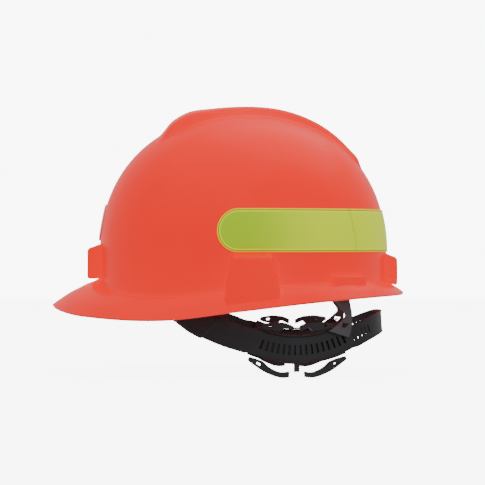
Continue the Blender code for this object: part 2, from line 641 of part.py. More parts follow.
def hanger_rows(angle, rear):
    """Middle point and half-width vector of each row of a hanger's plate, from its tongue to its foot."""
    normal, tangent = wall_frame(angle)
    seat = shell_wall(angle, 0.0) - normal * (WALL + TONGUE_SETBACK)
    rows = [(seat + Vector((0, 0, z * MM)), tangent * w * MM)
            for z, w in HANGER_TOP]
    if rear:
        for front_y, front_z, rear_y, rear_z in HANGER_FOOT:
            ends = []
            for y, z in ((front_y, front_z), (rear_y, rear_z)):
                slope = (arm_x(y * MM - MM) - arm_x(y * MM + MM)) / (2 * MM)
                out = (BAND_THICKNESS / 2 + TOUCH_GAP + 1.3 * MM) * math.hypot(1.0, slope)
                ends.append(Vector((arm_x(y * MM) + out, y * MM, z * MM)))
            rows.append(((ends[0] + ends[1]) / 2, (ends[1] - ends[0]) / 2))
        return rows
    turn = math.radians(FRONT_HANGER_TURN)
    out = Vector((math.sin(turn) / BAND_HALF_WIDTH, -math.cos(turn) / BAND_HALF_LENGTH, 0)).normalized()
    foot = Vector((BAND_HALF_WIDTH * math.sin(turn), BAND_CENTRE_Y - BAND_HALF_LENGTH * math.cos(turn), 0))
    foot = foot + out * (BAND_THICKNESS / 2 + TOUCH_GAP + 1.2 * MM)
    along = Vector((-out.y, out.x, 0))
    rows = rows[:4]
    rows.append((seat - normal * 1.5 * MM + Vector((0, 0, 14.4 * MM)), tangent * 8 * MM))
    rows.append((foot + Vector((0, 0, 13.6 * MM)) + out * 3.5 * MM, along * 6 * MM))
    return rows + [(foot + Vector((0, 0, z * MM)), along * w * MM) for z, w in HANGER_HOOK]


def build_hangers(collection):
    """Four plastic hangers that plug into the shell and carry the headband and the crown straps."""
    for rear, angle in ((False, QUARTER_ANGLES[0]), (True, QUARTER_ANGLES[1])):
        for side, word in ((1, "left"), (-1, "right")):
            shares = (-1.0, -0.78, 0.78, 1.0)
            vertices = []
            rows = hanger_rows(angle, rear)
            for middle, half in rows:
                for share in shares:
                    spot = middle + half * share
                    vertices.append((spot.x * side, spot.y, spot.z))
            holes = {(2, 1)}
            if rear:
                holes.add((6, 1))
            name = ("rear_" if rear else "front_") + word + "_hanger"
            hanger = make_object(name, vertices, grid_faces(len(rows), len(shares), holes=holes), collection,
                                 (GREY, 0.45), smooth_angle=50)
            add_solidify(hanger, HANGER_THICKNESS, 0.0)


def build_adjusters(collection, scratch):
    """A guide on each arm, with a keeper that the nape strap slides through, and its four release wings."""
    inner = BAND_THICKNESS / 2 + TOUCH_GAP + NAPE_STRAP_THICKNESS + KEEPER_ROOM
    outer = BAND_THICKNESS / 2 - 0.3 * MM
    low = ARC_RADIUS + ARM_HALF_HEIGHT + TOUCH_GAP
    top = ARC_RADIUS - ARM_HALF_HEIGHT - TOUCH_GAP
    post = FRAME_POST_HALF_ANGLE
    stops = [-FRAME_HALF_ANGLE, -20, -16, -12, -7, -post - 0.15, -post, post, post + 0.15, 6, 10, 14, 18, 21,
             FRAME_HALF_ANGLE]
    cutter = keeper_cutter(scratch)
    for side, word in ((1, "left"), (-1, "right")):
        sections = []
        for angle in stops:
            extra = FRAME_POST_LENGTH if abs(angle) <= post else 0.0
            middle = arm_x(ARC_CENTRE_Y + ARC_RADIUS * math.sin(math.radians(angle)))
            near = middle - inner
            far = middle + outer
            back = near - FRAME_PLATE
            above = top - FRAME_PLATE
            below = low + FRAME_PLATE + extra
            ring = [(near, top), (far, top), (far, above), (back, above), (back, below), (far, below), (far, low),
                    (near, low)]
            sections.append([arc_point(x * side, angle, radius) for x, radius in ring])
        frame = lofted_solid("adjuster_frame_" + word, sections, collection, (BLACK, 0.45))
        cut = frame.modifiers.new("keeper", "BOOLEAN")
        cut.operation = "DIFFERENCE"
        cut.object = cutter
        for level, rows, root in zip(("upper", "lower"), (UPPER_WING, LOWER_WING), WING_ROOT_RADII):
            for end, direction in (("front", -1), ("rear", 1)):
                build_wing("_".join((word, level, end, "wing")), side, direction, rows, root, collection)


def keeper_cutter(scratch):
    """Cutter that clears the guides' inner plates behind the keeper, between their upper and lower rails."""
    work = bmesh.new()
    room = BAND_HALF_WIDTH - BAND_THICKNESS / 2 - TOUCH_GAP
    outline = []
    for radius in (ARC_RADIUS - ARM_HALF_HEIGHT - TOUCH_GAP, ARC_RADIUS + ARM_HALF_HEIGHT + TOUCH_GAP):
        row = [arc_point(0, degrees, radius) for degrees in range(KEEPER_END, 33, 4)]
        outline += row if not outline else row[::-1]
    rings = []
    for x in (-room, room):
        rings.append([work.verts.new((x, y, z)) for _, y, z in outline])
    work.faces.new(rings[0])
    work.faces.new(rings[1])
    for i in range(len(outline)):
        after = (i + 1) % len(outline)
        work.faces.new((rings[0][i], rings[0][after], rings[1][after], rings[1][i]))
    bmesh.ops.recalc_face_normals(work, faces=work.faces)
    return scratch_object("keeper_cut", work, scratch)


def build_wing(name, side, direction, rows, root, collection):
    """A release wing: a bent lever along the arc, whose origin is on its root's axis."""
    outline = [(degrees, near) for degrees, near, far in rows]
    outline += [(degrees, far) for degrees, near, far in rows[::-1]]
    sections = []
    for offset in WING_OFFSETS:
        section = []
        for degrees, radius in outline:
            _, y, z = arc_point(0.0, degrees * direction, radius * MM)
            on_arm = arc_point(0.0, degrees * direction, ARC_RADIUS)[1]
            section.append(((arm_x(on_arm) + offset) * side, y, z))
        sections.append(section)
    wing = lofted_solid(name, sections, collection, (BLACK, 0.45))
    origin_to(wing, arc_point(BAND_HALF_WIDTH * side, WING_ROOT_TURN * direction, root * MM))


def strap_path(angle, drop):
    """Middle points and width directions of a crown strap from one hanger, over the crown, to the far one."""
    normal, tangent = wall_frame(angle)
    seat = shell_wall(angle, 0.0) - normal * (WALL + TONGUE_SETBACK)
    centre = Vector((0, DOME_CENTRE_Y, 0))
    inner = 1.0 * MM + TOUCH_GAP + STRAP_THICKNESS / 2
    slot_z = 19.1 * MM
    base_z = 24.0 * MM
    reach = seat - normal * (inner + 3.6 * MM) - centre
    half = []
    half.append((seat + normal * (inner + 0.9 * MM) + Vector((0, 0, slot_z - 4.4 * MM)), tangent))
    half.append((seat + normal * inner + Vector((0, 0, slot_z - 1.5 * MM)), tangent))
    half.append((seat + normal * inner * 0.4 + Vector((0, 0, slot_z - 0.2 * MM)), tangent))
    half.append((seat - normal * inner * 0.4 + Vector((0, 0, slot_z + 0.2 * MM)), tangent))
    half.append((seat - normal * (inner + 0.9 * MM) + Vector((0, 0, slot_z + 1.6 * MM)), tangent))
    across = Vector((-reach.y, reach.x, 0)).normalized()
    for step in range(STRAP_STEPS // 2 + 1):
        rise = math.pi / 2 * step / (STRAP_STEPS // 2)
        power = 2 / STRAP_EXPONENT
        share = max(math.cos(rise), 0.0) ** power
        spot = centre + reach * share
        spot.z = base_z + (STRAP_APEX_Z - drop - base_z) * math.sin(rise) ** power
        turn = min(step / 3.0, 1.0)
        half.append((spot, (tangent * (1 - turn) + across * turn).normalized()))
    far = []
    for spot, width in half[:-1]:
        far.append((Vector((-spot.x, 2 * DOME_CENTRE_Y - spot.y, spot.z)), width))
    return half + far[::-1]


def build_straps(collection):
    """Two webbing straps crossing under the crown, the lower one touching the head."""
    for name, side, drop in (("crown_strap_upper", 1, 0.0), ("crown_strap_lower", -1, STRAP_CROSSING_GAP)):
        path = strap_path(QUARTER_ANGLES[1], drop)
        vertices = []
        for spot, width in path:
            for share in (-1, 1):
                place = spot + width * STRAP_HALF_WIDTH * share
                vertices.append((place.x * side, place.y, place.z))
        strap = make_object(name, vertices, grid_faces(len(path), 2), collection, (GREY, 0.85))
        add_solidify(strap, STRAP_THICKNESS, 0.0)


def main():
    """Clear the scene and build the helmet."""
    for thing in list(bpy.data.objects):
        bpy.data.objects.remove(thing, do_unlink=True)
    collection = bpy.data.collections.new(COLLECTION)
    scratch = bpy.data.collections.new("cutters")
    bpy.context.scene.collection.children.link(collection)
    bpy.context.scene.collection.children.link(scratch)
    build_shell(collection, scratch)
    build_stripes(collection)
    build_badges(collection)
    build_headband(collection)
    build_sweatband(collection)
    build_nape_strap(collection, (0.0, ARC_CENTRE_Y, ARC_CENTRE_Z))
    build_hangers(collection)
    build_adjusters(collection, scratch)
    build_straps(collection)


main()
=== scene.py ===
"""Looks of the forestry helmet: its moulded shell, reflective tape, strap suspension and ladder headband.

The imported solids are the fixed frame. Each class here rebuilds one sub-assembly as fine surfaces in the same
place, dresses it, and lets it ride on the body that carries it. Metres, +Z up, the peak towards -Y and the
wearer's left at +X.
"""
import logging
import math
from dataclasses import dataclass
from enum import Enum
from typing import Any, Iterable, Optional, Sequence, Union

import bpy
import numpy as np
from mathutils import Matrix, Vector


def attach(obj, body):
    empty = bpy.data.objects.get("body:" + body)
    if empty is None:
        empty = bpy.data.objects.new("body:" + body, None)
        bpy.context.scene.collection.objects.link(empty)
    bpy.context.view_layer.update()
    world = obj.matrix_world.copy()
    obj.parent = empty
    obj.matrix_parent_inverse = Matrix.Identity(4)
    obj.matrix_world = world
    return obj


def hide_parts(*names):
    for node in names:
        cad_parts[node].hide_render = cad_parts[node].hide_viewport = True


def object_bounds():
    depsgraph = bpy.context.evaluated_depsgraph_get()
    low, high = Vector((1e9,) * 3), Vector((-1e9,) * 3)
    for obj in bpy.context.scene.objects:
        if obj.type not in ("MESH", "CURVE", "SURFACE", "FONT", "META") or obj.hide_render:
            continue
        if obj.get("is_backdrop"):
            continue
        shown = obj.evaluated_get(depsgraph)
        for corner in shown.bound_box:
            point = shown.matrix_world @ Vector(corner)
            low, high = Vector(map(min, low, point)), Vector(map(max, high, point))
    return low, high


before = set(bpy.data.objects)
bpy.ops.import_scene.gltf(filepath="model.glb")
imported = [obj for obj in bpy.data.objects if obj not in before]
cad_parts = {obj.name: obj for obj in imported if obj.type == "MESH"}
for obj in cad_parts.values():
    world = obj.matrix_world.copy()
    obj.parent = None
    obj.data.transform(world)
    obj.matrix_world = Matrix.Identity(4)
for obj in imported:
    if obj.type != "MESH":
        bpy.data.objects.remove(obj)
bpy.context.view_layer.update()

MM = 0.001
ROOT = "helmet"
Colour = tuple[float, float, float]
Array = np.ndarray
Knots = Sequence[tuple[float, float]]
THREAD_STEPS = 6
log = logging.getLogger("forestry_helmet")


# ---------------------------------------------------------------- curves

def through(knots: Knots, x: Array) -> Array:
    """Smooth cubic curve through a few knots, level at both ends and beyond them.

    Args:
        knots: (x, y) pairs in rising x.
        x: Where the curve is read.

    Returns:
        The curve's value at each x: on each span, the Hermite blend of its end values and slopes.
    """
    xs, ys = np.array(knots, dtype=float).T
    slopes = np.gradient(ys, xs)
    slopes[[0, -1]] = 0.0
    x = np.clip(np.asarray(x, dtype=float), xs[0], xs[-1])
    i = np.clip(np.searchsorted(xs, x) - 1, 0, len(xs) - 2)
    run = xs[i + 1] - xs[i]
    t = (x - xs[i]) / run
    start = (2 * t**3 - 3 * t**2 + 1) * ys[i] + (t**3 - 2 * t**2 + t) * run * slopes[i]
    end = (3 * t**2 - 2 * t**3) * ys[i + 1] + (t**3 - t**2) * run * slopes[i + 1]
    return start + end


def smooth(t: Array) -> Array:
    """S-curve that is 0 below t = 0 and 1 above t = 1."""
    t = np.clip(t, 0.0, 1.0)
    return t * t * (3 - 2 * t)


def refined(points: Array, per_span: int) -> Array:
    """Catmull-Rom curve through points, with a number of steps to each span.

    Args:
        points: (n, k) points.
        per_span: Steps between neighbours.

    Returns:
        The finer points, which include the given ones.
    """
    ends = np.vstack([2 * points[0] - points[1], points, 2 * points[-1] - points[-2]])
    t = np.arange(per_span) / per_span
    basis = 0.5 * np.stack([-t + 2 * t**2 - t**3, 2 - 5 * t**2 + 3 * t**3,
                            t + 4 * t**2 - 3 * t**3, t**3 - t**2])
    windows = np.stack([ends[i:i + len(points) - 1] for i in range(4)])
    fine = np.einsum("bt,bnk->ntk", basis, windows).reshape(-1, points.shape[1])
    return np.vstack([fine, points[-1]])


def unit(vectors: Array) -> Array:
    """Vectors at length one."""
    return vectors / np.linalg.norm(vectors, axis=-1, keepdims=True)


def run_along(path: Array) -> Array:
    """Distance along a path at each of its points."""
    return np.concatenate([[0.0], np.cumsum(np.linalg.norm(np.diff(path, axis=0), axis=1))])


# ---------------------------------------------------------------- meshes

def new_object(name: str, vertices: Array, faces: Iterable[Sequence[int]],
               sharp: float = 40.0) -> bpy.types.Object:
    """Object from vertices and faces, shaded smooth up to an angle between faces.

    Args:
        name: The piece's name.
        vertices: (n, 3) points in metres.
        faces: Vertex numbers of each face, turning outwards.
        sharp: Degrees between faces past which an edge stays sharp.

    Returns:
        The object, linked to the scene at the origin.
    """
    mesh = bpy.data.meshes.new(name)
    mesh.from_pydata(np.asarray(vertices, dtype=float).tolist(), [], [list(face) for face in faces])
    mesh.update()
    mesh.shade_smooth()
    mesh.set_sharp_from_angle(angle=math.radians(sharp))
    thing = bpy.data.objects.new(name, mesh)
    bpy.context.scene.collection.objects.link(thing)
    return thing


def quads(rows: int, columns: int, round_it: bool = False, keep: Optional[Array] = None) -> Array:
    """Faces of a grid of points in row order.

    Args:
        rows: Rows of points.
        columns: Points in a row.
        round_it: Whether each row closes on itself.
        keep: True for each (row, column) cell that stays, or None for all.

    Returns:
        (n, 4) vertex numbers.
    """
    across = columns if round_it else columns - 1
    row, column = np.meshgrid(np.arange(rows - 1), np.arange(across), indexing="ij")
    after = (column + 1) % columns
    cells = np.stack([row * columns + column, row * columns + after,
                      (row + 1) * columns + after, (row + 1) * columns + column], axis=-1)
    return cells.reshape(-1, 4) if keep is None else cells[keep]


def surface(name: str, points: Array, round_it: bool = False, keep: Optional[Array] = None,
            uv: Optional[Array] = None, sharp: float = 40.0) -> bpy.types.Object:
    """Open surface from a (rows, columns, 3) grid of points, with an optional UV map in metres.

    Args:
        name: The piece's name.
        points: The grid.
        round_it: Whether each row closes on itself.
        keep: Cells that stay.
        uv: (rows, columns, 2) coordinates for a pattern that follows the surface.
        sharp: Degrees past which an edge stays sharp.

    Returns:
        The object.
    """
    rows, columns = points.shape[:2]
    faces = quads(rows, columns, round_it, keep)
    thing = new_object(name, points.reshape(-1, 3), faces.tolist(), sharp)
    if uv is not None:
        layer = thing.data.uv_layers.new(name="UVMap")
        layer.data.foreach_set("uv", uv.reshape(-1, 2)[faces.reshape(-1)].astype(np.float32).ravel())
    return thing


def closed_loft(name: str, rings: Array, uv: Optional[Array] = None, sharp: float = 40.0) -> bpy.types.Object:
    """Closed solid through rings of points: the rings joined in turn, with the first and last capped.

    Args:
        name: The piece's name.
        rings: (n, m, 3) rings, each turning so that the side faces outwards.
        uv: (n, m, 2) coordinates, or None.
        sharp: Degrees past which an edge stays sharp.

    Returns:
        The object.
    """
    count, size = rings.shape[:2]
    side = quads(count, size, round_it=True)
    faces = side.tolist() + [list(range(size))[::-1], list(range((count - 1) * size, count * size))]
    thing = new_object(name, rings.reshape(-1, 3), faces, sharp)
    if uv is not None:
        layer = thing.data.uv_layers.new(name="UVMap")
        order = np.concatenate([np.asarray(face) for face in faces])
        layer.data.foreach_set("uv", uv.reshape(-1, 2)[order].astype(np.float32).ravel())
    return thing


def outward(thing: bpy.types.Object) -> bpy.types.Object:
    """Turn a closed mesh's faces outwards if its signed volume is negative."""
    mesh = thing.data
    mesh.calc_loop_triangles()
    points = np.empty(len(mesh.vertices) * 3)
    mesh.vertices.foreach_get("co", points)
    corners = np.empty(len(mesh.loop_triangles) * 3, dtype=np.int64)
    mesh.loop_triangles.foreach_get("vertices", corners)
    a, b, c = points.reshape(-1, 3)[corners.reshape(-1, 3)].transpose(1, 0, 2)
    if np.einsum("ij,ij->i", a, np.cross(b, c)).sum() < 0:
        mesh.flip_normals()
    return thing


def thicken(thing: bpy.types.Object, thickness: float, offset: float = 0.0) -> None:
    """Give an open surface its wall with a Solidify modifier."""
    wall = thing.modifiers.new("wall", "SOLIDIFY")
    wall.thickness = thickness
    wall.offset = offset


def soften(thing: bpy.types.Object, width: float, segments: int = 2, angle: float = 40.0) -> None:
    """Round the edges of a piece that are sharper than an angle with a Bevel modifier."""
    edge = thing.modifiers.new("edges", "BEVEL")
    edge.width = width
    edge.segments = segments
    edge.limit_method = "ANGLE"
    edge.angle_limit = math.radians(angle)


def applied(thing: bpy.types.Object) -> bpy.types.Object:
    """Make a piece's modifiers part of its mesh."""
    evaluated = thing.evaluated_get(bpy.context.evaluated_depsgraph_get())
    mesh = bpy.data.meshes.new_from_object(evaluated)
    thing.modifiers.clear()
    thing.data = mesh
    return thing


def set_in(thing: bpy.types.Object, material: bpy.types.Material, body: str = ROOT,
           nodes: Sequence[str] = ()) -> bpy.types.Object:
    """Dress a finished piece and hand it to the frame.

    Args:
        thing: The piece.
        material: Its finish.
        body: The body that it rides on.
        nodes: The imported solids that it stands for.

    Returns:
        The piece.
    """
    thing.data.materials.clear()
    thing.data.materials.append(material)
    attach(thing, body)
    if nodes:
        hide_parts(*nodes)
    log.info("%s: %d faces on %s", thing.name, len(thing.data.polygons), body)
    return thing


# ---------------------------------------------------------------- shader maths

class Value:
    """A shader socket whose operators add Math nodes to its material."""

    def __init__(self, shader: "Shader", socket: Any) -> None:
        """Wrap a socket of a material."""
        self.shader = shader
        self.socket = socket

    def maths(self, operation: str, *others: Any, first: Any = None) -> "Value":
        """Math node of an operation on this value and others, or with another value first."""
        values = (self, *others) if first is None else (first, self, *others)
        return self.shader.node("ShaderNodeMath", {"operation": operation}, dict(enumerate(values)))

    def __add__(self, other: Any) -> "Value":
        """Sum."""
        return self.maths("ADD", other)

    __radd__ = __add__

    def __mul__(self, other: Any) -> "Value":
        """Product."""
        return self.maths("MULTIPLY", other)

    __rmul__ = __mul__

    def __sub__(self, other: Any) -> "Value":
        """Difference."""
        return self.maths("SUBTRACT", other)

    def __rsub__(self, other: Any) -> "Value":
        """Difference from another value."""
        return self.maths("SUBTRACT", first=other)

    def sine(self) -> "Value":
        """Sine."""
        return self.maths("SINE")

    def absolute(self) -> "Value":
        """Size without sign."""
        return self.maths("ABSOLUTE")

    def step(self, low: float, high: float) -> "Value":
        """Smooth step from 0 at low to 1 at high."""
        inputs = {"Value": self, "From Min": low, "From Max": high}
        return self.shader.node("ShaderNodeMapRange", {"interpolation_type": "SMOOTHSTEP"}, inputs)

    def band(self, low: float, high: float, blur: float) -> "Value":
        """1 between low and high, fading to 0 over a blur on each side."""
        return self.step(low - blur, low) * (1 - self.step(high, high + blur))


class Shader:
    """A node material under construction, round one Principled shader."""

    def __init__(self, name: str) -> None:
        """Start a material with only its shader and output."""
        self.material = bpy.data.materials.new(name)
        self.material.use_nodes = True
        self.tree = self.material.node_tree
        self.principled = self.tree.nodes["Principled BSDF"]

    def node(self, kind: str, settings: Optional[dict] = None, inputs: Optional[dict] = None,
             output: Union[int, str] = 0) -> Value:
        """Add a node.

        Args:
            kind: The node's type.
            settings: Its own settings, set first.
            inputs: Values or links by socket name or number.
            output: The socket that is passed on.

        Returns:
            The wrapped output.
        """
        made = self.tree.nodes.new(kind)
        for key, value in (settings or {}).items():
            setattr(made, key, value)
        for key, value in (inputs or {}).items():
            self.feed(made.inputs[key], value)
        return Value(self, made.outputs[output])

    def feed(self, socket: Any, value: Any) -> None:
        """Link a wrapped value to a socket, or set a number or colour on it."""
        if isinstance(value, Value):
            self.tree.links.new(value.socket, socket)
        elif isinstance(value, tuple) and len(value) == 3 and len(socket.default_value) == 4:
            socket.default_value = (*value, 1.0)
        else:
            socket.default_value = value

    def place(self, source: str = "Object") -> Value:
        """Texture coordinates of a kind."""
        return self.node("ShaderNodeTexCoord", output=source)

    def parts(self, source: Value) -> list[Value]:
        """The three numbers of a vector."""
        split = self.node("ShaderNodeSeparateXYZ", inputs={0: source}).socket.node
        return [Value(self, output) for output in split.outputs]

    def noise(self, scale: float, detail: float = 2.0, source: Optional[Value] = None,
              rough: float = 0.5) -> Value:
        """Noise of about 0 to 1 at a scale per metre."""
        inputs = {"Vector": source or self.place(), "Scale": scale, "Detail": detail, "Roughness": rough}
        return self.node("ShaderNodeTexNoise", inputs=inputs)

    def mixed(self, factor: Any, first: Any, second: Any) -> Value:
        """Blend of two colours."""
        return self.node("ShaderNodeMix", {"data_type": "RGBA"}, {0: factor, 6: first, 7: second}, output=2)

    def bump(self, height: Value, distance: float, strength: float = 1.0) -> Value:
        """Normal of a bump whose height of 1 stands for a distance in metres."""
        inputs = {"Height": height, "Distance": distance, "Strength": strength}
        return self.node("ShaderNodeBump", inputs=inputs)

    def finish(self, **values: Any) -> bpy.types.Material:
        """Feed the shader's sockets, with _ for a space in a name, and return the material."""
        for key, value in values.items():
            self.feed(self.principled.inputs[key.replace("_", " ")], value)
        return self.material


# ---------------------------------------------------------------- finishes

@dataclass(frozen=True)
class ShellPlastic:
    """High-visibility moulded plastic: satin, with a painted glow (a steady emission standing in for light on
    its fluorescent pigment), flow clouds and scuffs.
    """

    colour: Colour = (0.960, 0.009, 0.0)
    deep: Colour = (0.930, 0.005, 0.0)
    # Colour of the painted glow: an emission that brightens the shell under any light.
    glow: Colour = (1.0, 0.003, 0.0)
    scuffed: Colour = (0.95, 0.12, 0.06)
    roughness: float = 0.30

    def make(self) -> bpy.types.Material:
        """Build the material."""
        s = Shader("shell_plastic")
        clouds = s.noise(14.0, 3.0)
        peel = s.noise(420.0, 2.0)
        grain = s.noise(2600.0, 2.0)
        stretched = s.node("ShaderNodeMapping", inputs={"Vector": s.place(), "Scale": (900.0, 60.0, 140.0)})
        scuffs = s.noise(1.0, 4.0, stretched, 0.7).step(0.66, 0.72) * s.noise(35.0, 2.0).step(0.5, 0.62)
        colour = s.mixed(clouds.step(0.3, 0.7), self.deep, self.colour)
        rough = self.roughness + clouds * 0.05 + scuffs * 0.12
        normal = s.bump(peel * 0.8 + grain * 0.12 - scuffs * 0.25, 0.00006, 0.6)
        colour = s.mixed(scuffs * 0.1, colour, self.scuffed)
        # The emission is painted light: a glow that lifts the shell's brightness and flattens its shading.
        return s.finish(Base_Color=colour, Roughness=rough, Normal=normal, Specular_IOR_Level=0.14,
                        Coat_Weight=0.02 + clouds * 0.02, Coat_Roughness=0.08,
                        Emission_Color=self.glow, Emission_Strength=0.36)


@dataclass(frozen=True)
class ReflectiveTape:
    """Retroreflective tape: a bright border line, a groove, a lime line, and a field of tiny prisms, with
    painted light along the field and a painted glow.
    """

    border: Colour = (0.85, 0.62, 0.0)
    groove: Colour = (0.22, 0.28, 0.0)
    line: Colour = (0.80, 0.92, 0.0)
    # Ends of the field's painted light: darker green at the front, brighter yellow at the rear.
    field_front_painted_dim: Colour = (0.330, 0.560, 0.0)
    field_rear_painted_bright: Colour = (0.600, 0.760, 0.0)

    def make(self) -> bpy.types.Material:
        """Build the material, which reads how far each point is in from the tape's edge."""
        s = Shader("reflective_tape")
        inset = s.node("ShaderNodeAttribute", {"attribute_name": "inset"}, output="Fac") * 1000.0
        _, along, _ = s.parts(s.place())
        u, v, _ = s.parts(s.place("UV"))
        cells = ((u + v) * 2600.0).sine() * ((u - v) * 2600.0).sine()
        sheen = s.noise(28.0, 2.0)
        # Painted light: the field brightens from front to rear, the tape's retroreflection painted into its
        # colour.
        field = s.mixed((along + (sheen - 0.5) * 0.02).step(-0.004, 0.062), self.field_front_painted_dim, self.field_rear_painted_bright)
        field = s.mixed(cells.absolute() * 0.20, field, (0.66, 0.78, 0.0))
        lined = s.mixed(inset.band(1.75, 2.45, 0.12), field, self.line)
        grooved = s.mixed(inset.band(1.05, 1.65, 0.12), lined, self.groove)
        colour = s.mixed(1 - inset.step(0.85, 1.0), grooved, self.border)
        raised = inset.step(2.4, 2.7)
        normal = s.bump(cells * raised * 0.6 + s.noise(900.0, 2.0) * 0.15, 0.00008, 0.7)
        rough = 0.34 + sheen * 0.1 - raised * 0.04
        # The emission is a painted glow that brightens the tape under any light.
        return s.finish(Base_Color=colour, Roughness=rough, Normal=normal, Specular_IOR_Level=0.08,
                        Emission_Color=colour, Emission_Strength=0.22)


@dataclass(frozen=True)
class HarnessPlastic:
    """Satin moulded nylon, with a spark-eroded grain, faint flow streaks and dull handled patches."""

    name: str = "harness_plastic"
    colour: Colour = (0.0060, 0.0058, 0.0085)
    worn: Colour = (0.014, 0.014, 0.018)
    roughness: float = 0.40

    def make(self) -> bpy.types.Material:
        """Build the material."""
        s = Shader(self.name)
        patches = s.noise(45.0, 3.0)
        cells = {"Vector": s.place(), "Scale": 2200.0}
        grain = s.node("ShaderNodeTexVoronoi", inputs=cells, output="Distance")
        streaks = s.noise(1.0, 3.0, s.node("ShaderNodeMapping", inputs={"Vector": s.place(),
                                                                        "Scale": (300.0, 40.0, 420.0)}))
        colour = s.mixed(patches.step(0.45, 0.75) * 0.6 + streaks * 0.15, self.colour, self.worn)
        rough = self.roughness + patches * 0.12 + grain * 0.08
        normal = s.bump(grain * 0.5 + streaks * 0.3, 0.00005, 0.7)
        return s.finish(Base_Color=colour, Roughness=rough, Normal=normal, Specular_IOR_Level=0.36)


@dataclass(frozen=True)
class Webbing:
    """Woven polyester webbing: herringbone ribs along the strap and a little lint."""

    colour: Colour = (0.030, 0.030, 0.034)
    thread: Colour = (0.085, 0.085, 0.092)

    def make(self) -> bpy.types.Material:
        """Build the material on the strap's own coordinates, along and across it in metres."""
        s = Shader("webbing")
        u, v, _ = s.parts(s.place("UV"))
        zigzag = (v * (math.pi / 0.004)).sine().absolute() * 0.0016
        picks = ((u + zigzag) * (2 * math.pi / 0.0011)).sine() * 0.5 + 0.5
        ends = (v * (2 * math.pi / 0.0009)).sine() * 0.5 + 0.5
        weave = picks * 0.65 + ends * 0.35
        lint = s.noise(1500.0, 2.0).step(0.72, 0.78)
        colour = s.mixed(weave * 0.7 + lint * 0.3, self.colour, self.thread)
        return s.finish(Base_Color=colour, Roughness=0.86 - weave * 0.12, Normal=s.bump(weave, 0.00018, 0.9),
                        Sheen_Weight=0.25)


@dataclass(frozen=True)
class BrowCloth:
    """Knitted brow cloth over foam: rows of small loops, breathing holes and a soft bloom."""

    colour: Colour = (0.0055, 0.0055, 0.0080)
    loop: Colour = (0.016, 0.016, 0.020)

    def make(self) -> bpy.types.Material:
        """Build the material on the band's own coordinates, along and round it in metres."""
        s = Shader("brow_cloth")
        u, v, _ = s.parts(s.place("UV"))
        loops = (u * (2 * math.pi / 0.0013)).sine() * (v * (2 * math.pi / 0.0010)).sine() * 0.5 + 0.5
        bloom = s.noise(60.0, 3.0)
        colour = s.mixed(loops * 0.6 + bloom * 0.3, self.colour, self.loop)
        return s.finish(Base_Color=colour, Roughness=0.9 - bloom * 0.1, Sheen_Weight=0.1,
                        Normal=s.bump(loops + bloom * 0.6, 0.00014, 0.8))


@dataclass(frozen=True)
class BadgePlastic:
    """Pale moulded badge or printed-free label, with a fine lathe-turned sheen and small rubs."""

    name: str
    colour: Colour
    roughness: float = 0.35

    def make(self) -> bpy.types.Material:
        """Build the material."""
        s = Shader(self.name)
        rings = s.node("ShaderNodeTexWave", {"wave_type": "RINGS", "rings_direction": "Y"},
                       {"Vector": s.place(), "Scale": 260.0, "Distortion": 0.6})
        rubs = s.noise(160.0, 4.0, rough=0.7).step(0.56, 0.68)
        colour = s.mixed(rubs * 0.25, self.colour, tuple(c * 0.72 for c in self.colour))
        return s.finish(Base_Color=colour, Roughness=self.roughness + rubs * 0.15 + rings * 0.05,
                        Normal=s.bump(rings * 0.3 + rubs * 0.4, 0.00004, 0.6))


# ---------------------------------------------------------------- small parts

def stitches(name: str, path: Array, normals: Array, length: float = 2.4 * MM, gap: float = 1.3 * MM,
             radius: float = 0.26 * MM) -> bpy.types.Object:
    """Row of thread stitches lying on a surface.

    Args:
        name: The piece's name.
        path: (n, 3) points of the seam on the surface.
        normals: (n, 3) outward directions at those points.
        length: Length of a stitch.
        gap: Space between stitches.
        radius: The thread's radius.

    Returns:
        One object of separate closed stitches: each a six-sided thread, arched, with its ends in the cloth.
    """
    run = run_along(path)
    starts = np.arange(gap / 2, run[-1] - length, length + gap)
    t = np.linspace(0, 1, THREAD_STEPS)
    at = starts[:, None] + length * t
    spot = np.stack([np.interp(at, run, path[:, k]) for k in range(3)], axis=-1)
    up = unit(np.stack([np.interp(at, run, normals[:, k]) for k in range(3)], axis=-1))
    side = unit(np.cross(np.gradient(spot, axis=1), up))
    arch = np.sin(math.pi * t)[:, None]
    spot = spot + up * (arch - 0.6) * radius
    turn = np.linspace(0, 2 * math.pi, THREAD_STEPS, endpoint=False)
    girth = radius * (0.45 + 0.55 * arch)[None, :, None]
    section = side[:, :, None] * np.cos(turn)[:, None] + up[:, :, None] * np.sin(turn)[:, None]
    rings = spot[:, :, None] + section * girth
    count = THREAD_STEPS**2
    caps = [list(range(THREAD_STEPS))[::-1], list(range(count - THREAD_STEPS, count))]
    one = quads(THREAD_STEPS, THREAD_STEPS, round_it=True).tolist() + caps
    faces = [[corner + count * i for corner in face] for i in range(len(starts)) for face in one]
    return outward(new_object(name, rings.reshape(-1, 3), faces, sharp=80.0))


